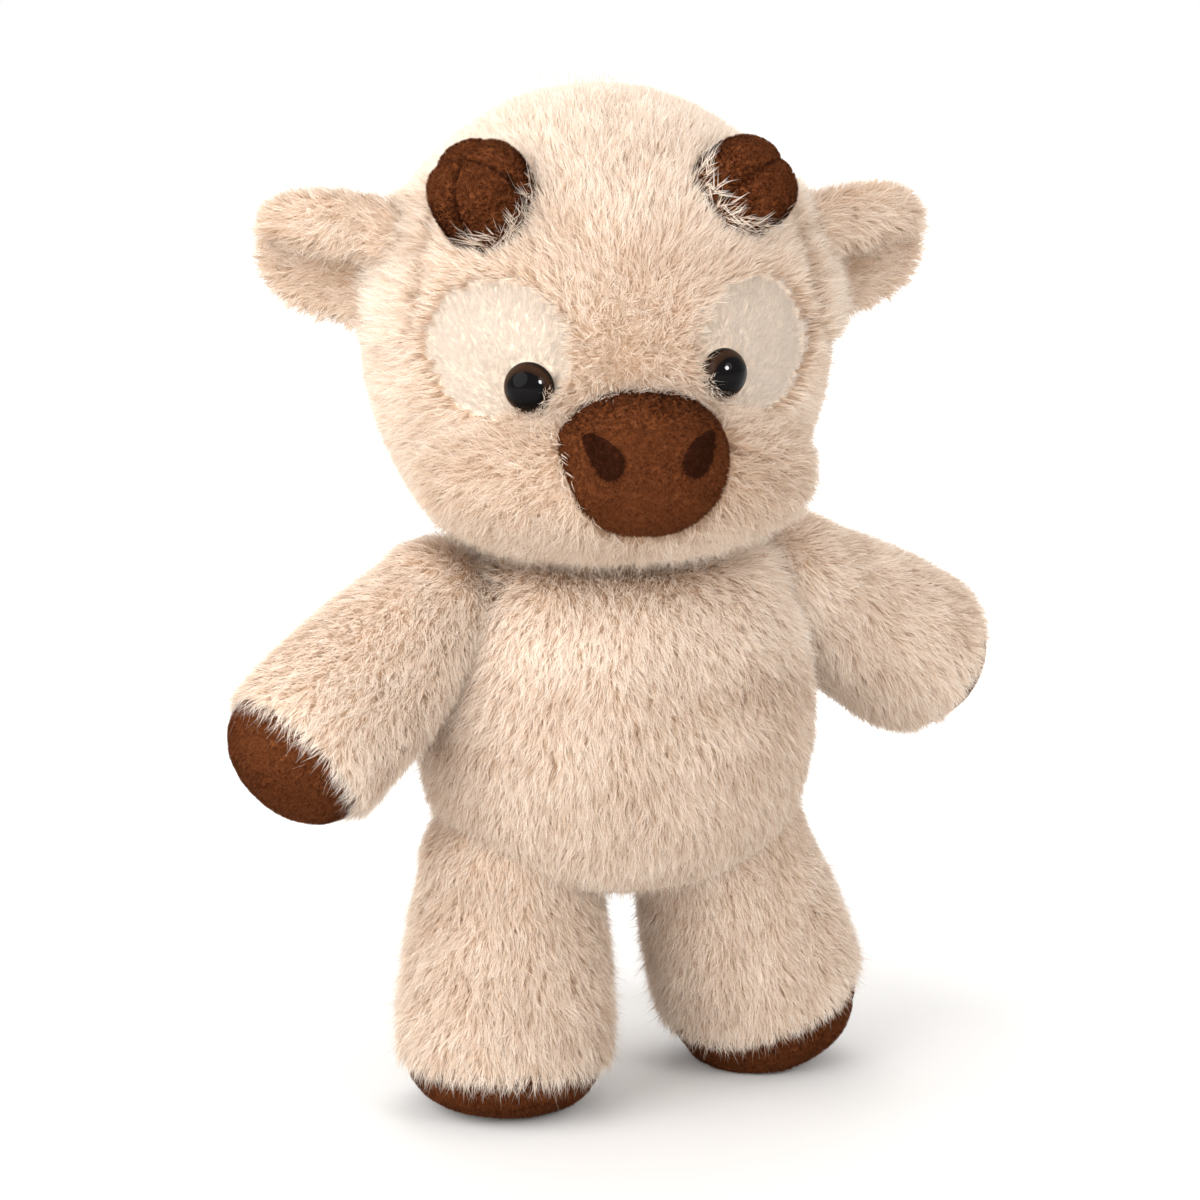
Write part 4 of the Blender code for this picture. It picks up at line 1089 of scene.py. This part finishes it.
def make_nose():
    rings, around = NOSE_GRID
    x, y, z = round_ways(rings, around).T
    ways = np.column_stack([x, -z, y])
    points = ways * NOSE_HALF / (np.abs(ways) ** NOSE_POWER).sum(axis=1)[:, None] ** (1.0 / NOSE_POWER)
    dart = bell(points[:, 0] / (1.1 * MM)) * smoothstep((-points[:, 2] / NOSE_HALF[2] - 0.35) / 0.4)
    dart *= smoothstep((0.006 - points[:, 1]) / 0.006)
    points = points * (1.0 - 0.016 * dart + 0.006 * wave_noise(points, 0.016, 91))[:, None]
    nose = object_from("nose_cover", from_head(points + NOSE_CENTRE), grid_faces(rings, around), BROWN_VELOUR)
    finished(nose, "head", ["nose_pad"])

    def nose_front(p, w):
        local = to_head(p)
        return (local[:, 1] < NOSE_CENTRE[1] + 0.006) & ~inside_nostril(local, 0.92)

    # Darker at the top of the nose: partly the nap lying the other way, partly painted shade under the fur
    # above it
    def nose_nap_and_painted_shade(p):
        rise = (to_head(p)[:, 2] - NOSE_CENTRE[2]) / NOSE_HALF[2]
        return 0.05 - 0.35 * smoothstep((rise - 0.45) / 0.25)

    def nose_edge(p, w):
        stand = above_skin(p)
        rise = to_head(p)[:, 2] - NOSE_CENTRE[2]
        return (stand > 3.5 * MM) & (stand < 7.0 * MM) & (rise > 0.55 * NOSE_HALF[2])

    nap("nose_nap", "head", nose, lambda p, w: DOWN, nose_front, 151, tone_shift=nose_nap_and_painted_shade)
    front = from_head(NOSE_CENTRE - (0.0, NOSE_HALF[1], 0.0))
    tufts("nose_edge_tufts", nose, lambda p, w: front - p, nose_edge, 121, 4.0 * MM, 0.5)


def make_nostril(side):
    sign = SIDES[side]
    long_way, wide_way = nostril_ways(sign)
    rings, around = NOSTRIL_GRID
    grid = []
    for radius in np.linspace(0.0, 1.0, rings):
        for angle in np.linspace(0.0, 2 * math.pi, around, endpoint=False):
            u, v = radius * math.cos(angle), radius * math.sin(angle)
            u = math.copysign(abs(u) ** 0.85, u) * (1.0 - NOSTRIL_TAPER * v)
            u += NOSTRIL_BEND * sign * (v * v - 0.3)
            flat = u * NOSTRIL_HALF_WIDTH * wide_way + v * NOSTRIL_HALF_LENGTH * long_way
            x, z = sign * NOSTRIL_SIDE + flat[0], NOSTRIL_RISE + flat[1]
            lift = NOSTRIL_SWELL * (1.0 - radius**3) - 1.2 * MM * (radius > 0.97)
            flat_part = abs(x / NOSE_HALF[0]) ** NOSE_POWER + abs(z / NOSE_HALF[2]) ** NOSE_POWER
            depth = max(1.0 - flat_part, 0.0) ** (1.0 / NOSE_POWER)
            grid.append((x, -NOSE_HALF[1] * depth - 0.5 * MM - lift, z))
    points = from_head(np.array(grid) + NOSE_CENTRE)
    nostril = object_from(f"nostril_cover_{side}", points, grid_faces(rings, around), DARK_VELOUR)
    thicken(nostril, NOSTRIL_THICKNESS, -1.0)
    finished(nostril, "head", [f"nostril_{side}"])
    inside = lambda p, w: inside_nostril(to_head(p), 0.95)
    nap(f"nostril_nap_{side}", "head", nostril, lambda p, w: DOWN, inside, 155 + sign, DARK_PILE, 1.5)


def make_eye(side):
    sign = SIDES[side]
    turns = np.linspace(0.0, math.pi / 2, 18)
    rows = [(EYE_RADIUS * math.sin(turn), SEAM_GAP + EYE_HEIGHT * math.cos(turn)) for turn in turns]
    rows += [(EYE_RADIUS * 0.97, -EYE_BACK), (EYE_STEM_RADIUS, -EYE_BACK)]
    rows += [(EYE_STEM_RADIUS, -EYE_STEM_LENGTH), (0.0, -EYE_STEM_LENGTH)]
    place = HEAD_PLACE @ EYE_PLACES[side]
    eye = turned(f"eye_dome_{side}", np.array(rows), EYE, around=48, matrix=place)
    back = place.inverted()
    local = moved(back, read(eye.data.vertices, "co"))
    ring = np.hypot(local[:, 0], local[:, 1]) / EYE_RADIUS
    eye.data.attributes.new("from_axis", "FLOAT", "POINT").data.foreach_set("value", ring.astype(np.float32))
    finished(eye, "head", [f"eye_{side}"])
    lower = unit((-0.45 * sign, -0.90))

    def lower_rim(p, w):
        flat = moved(back, p)[:, :2]
        far = np.linalg.norm(flat, axis=1)
        return (far > 0.80 * EYE_RADIUS) & (flat @ lower > 0.5 * far)

    middle = np.array(place.translation)
    tufts(f"eye_edge_tufts_{side}", eye, lambda p, w: middle - p, lower_rim, 123 + sign, 2.6 * MM, 0.8)


def horn_shape(points):
    """A stuffed horn: a swell on each gore, and gathered seams between them."""
    turn = np.arctan2(points[:, 1], points[:, 0]) / (2 * math.pi) * HORN_GORES
    off = np.abs(turn - np.round(turn))
    pucker = 1.0 + 0.35 * np.sin(points[:, 2] / HORN_GATHER * 2 * math.pi)
    swell = 0.06 * np.sin(off * math.pi)
    return points * (1.0 + (swell - 0.085 * bell(off / 0.060) * pucker)[:, None] * (1, 1, 0.6))


def make_horn(side):
    sign = SIDES[side]
    base, way = np.array(HORN_BASE[side]), unit(HORN_WAY[side])
    place = HEAD_PLACE @ facing(base, way)
    points = [(w * HORN_RADIUS, h * HORN_LENGTH) for w, h in HORN_SHARES]
    rows = smooth_outline([(points[0][0], -HORN_ROOT_DEPTH), *points], 60) * (HORN_SLIM, 1.0)
    closed = np.vstack([(0.0, rows[0, 1]), rows])
    horn = turned(f"horn_cover_{side}", closed, BROWN_VELOUR, around=144, matrix=place, shape=horn_shape)
    finished(horn, "head", [f"horn_skin_{side}"])
    axis = head_ways(way)
    root = from_head(base)
    inwards = head_ways(unit((-0.75 * sign, -0.2, -0.62)))

    def horn_place(p):
        """How far up the horn points are, and how far round to its inner side."""
        off = p - root
        up = off @ axis
        beside = off - np.outer(up, axis)
        return up, (beside @ inwards) / np.maximum(np.linalg.norm(beside, axis=1), 1e-6)

    # Darker near the horn's base and on its inner side: partly the nap's own darker lie, partly painted shade
    # from the head's fur and the side away from the key lamp
    def horn_nap_and_painted_shade(p):
        up, inside = horn_place(p)
        low = 1.0 - smoothstep((up - 0.014) / 0.022)
        return -0.02 - 0.50 * low - 0.50 * low * smoothstep((inside + 0.5) / 0.8)

    def above_root(p, w):
        return horn_place(p)[0] > -0.004

    def horn_edge(p, w):
        stand = above_skin(p)
        return (stand > 2.0 * MM) & (stand < 8.0 * MM) & (horn_place(p)[1] > 0.1)

    seed = 161 + (sign < 0)
    nap(f"horn_nap_{side}", "head", horn, lambda p, w: axis, above_root, seed, tone_shift=horn_nap_and_painted_shade)
    over_edge = axis + 0.6 * np.cross(axis, inwards) * sign
    tufts(f"horn_edge_tufts_{side}", horn, lambda p, w: over_edge, horn_edge, 127 + sign, 9.5 * MM, 0.30)
    inner = inset(closed, SKIN + SEAM_GAP)
    inner[0] = (0.0, rows[0, 1])
    stuffing = turned(f"horn_stuffing_{side}", inner, COTTON, around=24, matrix=place)
    finished(stuffing, "head", [f"horn_fill_{side}"])


# Ears


def ear_matrix(side):
    sign = SIDES[side]
    point, _ = skull_point(sign * EAR_AZIMUTH_DEG, EAR_HEIGHT)
    turn = Matrix.Rotation(math.radians(sign * EAR_SWEEP_DEG), 3, "Z")
    turn = turn @ Matrix.Rotation(math.radians(-sign * EAR_LIFT_DEG), 3, "Y")
    root = Vector(point + HEAD_CENTRE) + turn @ Vector((sign * EAR_ROOT_DEPTH, 0.0, 0.0))
    return HEAD_MATRIX @ Matrix.Translation(root) @ turn.to_4x4()


def ear_section(t, sign):
    """Points round an ear at a share of its length: along its back, over its top edge, along its front."""
    share = float(np.interp(t * 6.0, range(7), EAR_WIDTH_SHARES))
    half = np.linspace(-1.0, 1.0, EAR_COLUMNS)
    a = np.concatenate([half, half[::-1]])
    layer = np.repeat((1.0, -1.0), EAR_COLUMNS)
    turn = np.where(a > 0.0, a * (EAR_FOLD_TOP - 0.35 * t * t), a * EAR_FOLD_BOTTOM)
    depth, tall = EAR_DEPTH * math.sqrt(share) * (1.05 - 0.15 * t), EAR_HALF_WIDTH * share
    y, z = -depth * (1.0 - np.cos(turn)), tall * np.sin(turn)
    square = unit(np.column_stack([tall * np.cos(turn), depth * np.sin(turn)]))
    lift = EAR_HALF_THICKNESS * min(1.0, share * 2.0) * np.sqrt(np.maximum(1.0 - a**6, 0.0)) * layer
    yz = np.column_stack([y, z + EAR_RISE * (t - 0.5)]) + square * lift[:, None]
    inwards = (EAR_ROOT_DEPTH - math.tan(math.radians(EAR_SWEEP_DEG)) * yz[:, 0]) * (1.0 - t) ** 2
    return np.column_stack([(EAR_LENGTH * math.sin(math.pi / 2 * t) - inwards) * sign, yz])


def make_ear(side):
    sign = SIDES[side]
    matrix = ear_matrix(side)
    back = matrix.inverted()
    body = f"ear_{side}"
    around = 2 * EAR_COLUMNS
    sections = [ear_section(t, sign) for t in np.linspace(0.0, 1.0, EAR_ROWS)]
    ends = [np.tile(section.mean(axis=0), (around, 1)) for section in (sections[0], sections[-1])]
    grid = moved(matrix, np.vstack([ends[0], *sections, ends[1]]))
    whole = object_from(f"ear_whole_{side}", grid, grid_faces(EAR_ROWS + 2, around), BACKING)
    faces = grid_faces(EAR_ROWS, EAR_COLUMNS, False)
    for name, half in (("back", slice(0, EAR_COLUMNS)), ("front", slice(EAR_COLUMNS, around))):
        panel = moved(matrix, np.vstack([section[half] for section in sections]))
        ear = object_from(f"ear_{name}_cover_{side}", panel, faces, BACKING)
        thicken(ear, EAR_PANEL, 0.0)
        finished(ear, body, [f"ear_{name}_{side}"])

    def comb(p, w):
        """Outwards along the ear, and over its rolled rim."""
        local = moved(back, p)
        roll = smoothstep((-local[:, 1] - 0.9 * EAR_DEPTH) / 0.004)
        spread = local[:, 2] / EAR_HALF_WIDTH
        down = 0.8 * spread * (1.0 - roll) - 0.55 * roll
        return swung(matrix, np.column_stack([np.full(len(p), 1.0 * sign), 0.0 * spread, down]))

    def hollow(p):
        """1 in the ear's hollow, 0 outside it: there the pile is shorter and painted darker, as painted
        shade.
        """
        local = moved(back, p)
        front = smoothstep((-local[:, 1] - 0.3 * MM) / 0.003)
        low = bell((local[:, 2] + 0.003) / 0.007) * bell((np.abs(local[:, 0]) - 0.006) / 0.018)
        return front * (local[:, 1] > -1.3 * EAR_DEPTH) * low

    def shape(p, w):
        inner = hollow(p)
        rooted = smoothstep(np.abs(moved(back, p)[:, 0]) / 0.008)
        return (1.0 - 0.72 * inner) * (0.8 + 0.2 * rooted), 1.0 + 0.1 * inner

    # Painted shade: the ear's pile is painted a little darker all over, against the key lamp's light on the
    # near ear, and much darker in the hollow, where the roll's shade falls
    pile(
        f"ear_pile_{side}", body, whole, comb, seed=101 + sign, height=5.0 * MM, reach=6.5 * MM, per_mm2=0.75,
        ruffle=0.50, shape=shape, tone_shift=lambda p: -0.14 - 0.9 * hollow(p),
    )
    bpy.data.objects.remove(whole)


# Camera, light and floor


AZIMUTH, ELEVATION = math.radians(CAMERA_AZIMUTH_DEG), math.radians(CAMERA_ELEVATION_DEG)


def make_camera():
    data = bpy.data.cameras.new("camera")
    data.sensor_width = SENSOR_WIDTH
    data.lens = SENSOR_WIDTH * CAMERA_DISTANCE / CAMERA_VIEW_WIDTH
    camera = linked("camera", data)
    flat = math.cos(ELEVATION)
    away = Vector((math.sin(AZIMUTH) * flat, -math.cos(AZIMUTH) * flat, math.sin(ELEVATION)))
    camera.location = Vector(CAMERA_TARGET) + CAMERA_DISTANCE * away
    camera.rotation_euler = (-away).to_track_quat("-Z", "Y").to_euler()
    bpy.context.scene.camera = camera


def add_lamp(name, place, height, size, watts, colour):
    right, up, away = place
    side = Vector((math.cos(AZIMUTH), math.sin(AZIMUTH), 0.0))
    front = Vector((math.sin(AZIMUTH), -math.cos(AZIMUTH), 0.0))
    data = bpy.data.lights.new(name, "AREA")
    data.shape = "DISK"
    data.size = size
    data.energy = watts
    data.color = colour
    lamp = linked(name, data)
    lamp.location = Vector(CAMERA_TARGET) + side * right + front * away + Vector((0.0, 0.0, up))
    lamp.rotation_euler = (Vector((0.0, 0.0, height)) - lamp.location).to_track_quat("-Z", "Y").to_euler()
    return lamp


def seen_share(nodes, links):
    """A node that is 1 for rays from the camera, also through or off a surface, and 0 for light's own."""
    path = add_node(nodes, "LightPath")
    direct, every = (add_node(nodes, "Math", operation="MAXIMUM") for _ in range(2))
    connect(
        links,
        (path, "Is Camera Ray", direct, 0),
        (path, "Is Transmission Ray", direct, 1),
        (direct, "Value", every, 0),
        (path, "Is Glossy Ray", every, 1),
    )
    return every


def make_light():
    world = bpy.data.worlds.new("studio")
    bpy.context.scene.world = world
    world.use_nodes = True
    nodes, links = world.node_tree.nodes, world.node_tree.links
    ground = nodes["Background"]
    set_inputs(ground, {"Color": (1.0, 0.99, 0.975, 1.0), "Strength": 1.0})
    seen = add_node(nodes, "Background", {"Color": (*WHITE, 1.0), "Strength": 1.0})
    mix = add_node(nodes, "MixShader")
    connect(
        links,
        (seen_share(nodes, links), "Value", mix, "Fac"),
        (ground, "Background", mix, 1),
        (seen, "Background", mix, 2),
        (mix, "Shader", nodes["World Output"], "Surface"),
    )
    lamps = {row[0]: add_lamp(*row) for row in LAMPS}
    lamps["front"].visible_glossy = False
    lamps["eye_glint"].visible_diffuse = False


def make_floor():
    """A white floor that keeps the shadow. Seen directly it glows, and more so away from the object."""
    made, nodes, links, shader = new_material("studio_floor", 0.9, 0.0)
    set_inputs(shader, {"Base Color": FLOOR_COLOUR, "Emission Color": (*WHITE, 1.0)})
    place = add_node(nodes, "TexCoord")
    far = add_node(nodes, "VectorMath", operation="LENGTH")
    rise = add_node(nodes, "MapRange", FLOOR_GLOW)
    share = add_node(nodes, "Math", operation="MULTIPLY")
    connect(
        links,
        (place, "Object", far, 0),
        (far, "Value", rise, "Value"),
        (rise, "Result", share, 0),
        (seen_share(nodes, links), "Value", share, 1),
        (share, "Value", shader, "Emission Strength"),
    )
    corners = [(x * FLOOR_HALF, y * FLOOR_HALF, 0.0) for x, y in ((-1, -1), (1, -1), (1, 1), (-1, 1))]
    object_from("floor", corners, [(0, 1, 2, 3)], made)


make_camera()
make_torso()
make_limbs()
make_tail()
make_head()
make_nose()
for maker in (make_nostril, make_eye, make_horn, make_ear):
    for side in SIDES:
        maker(side)
for side in SIDES:
    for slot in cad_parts[f"eye_washer_{side}"].material_slots:
        slot.material = WASHER
make_light()
make_floor()
bpy.context.scene.view_settings.view_transform = "Standard"
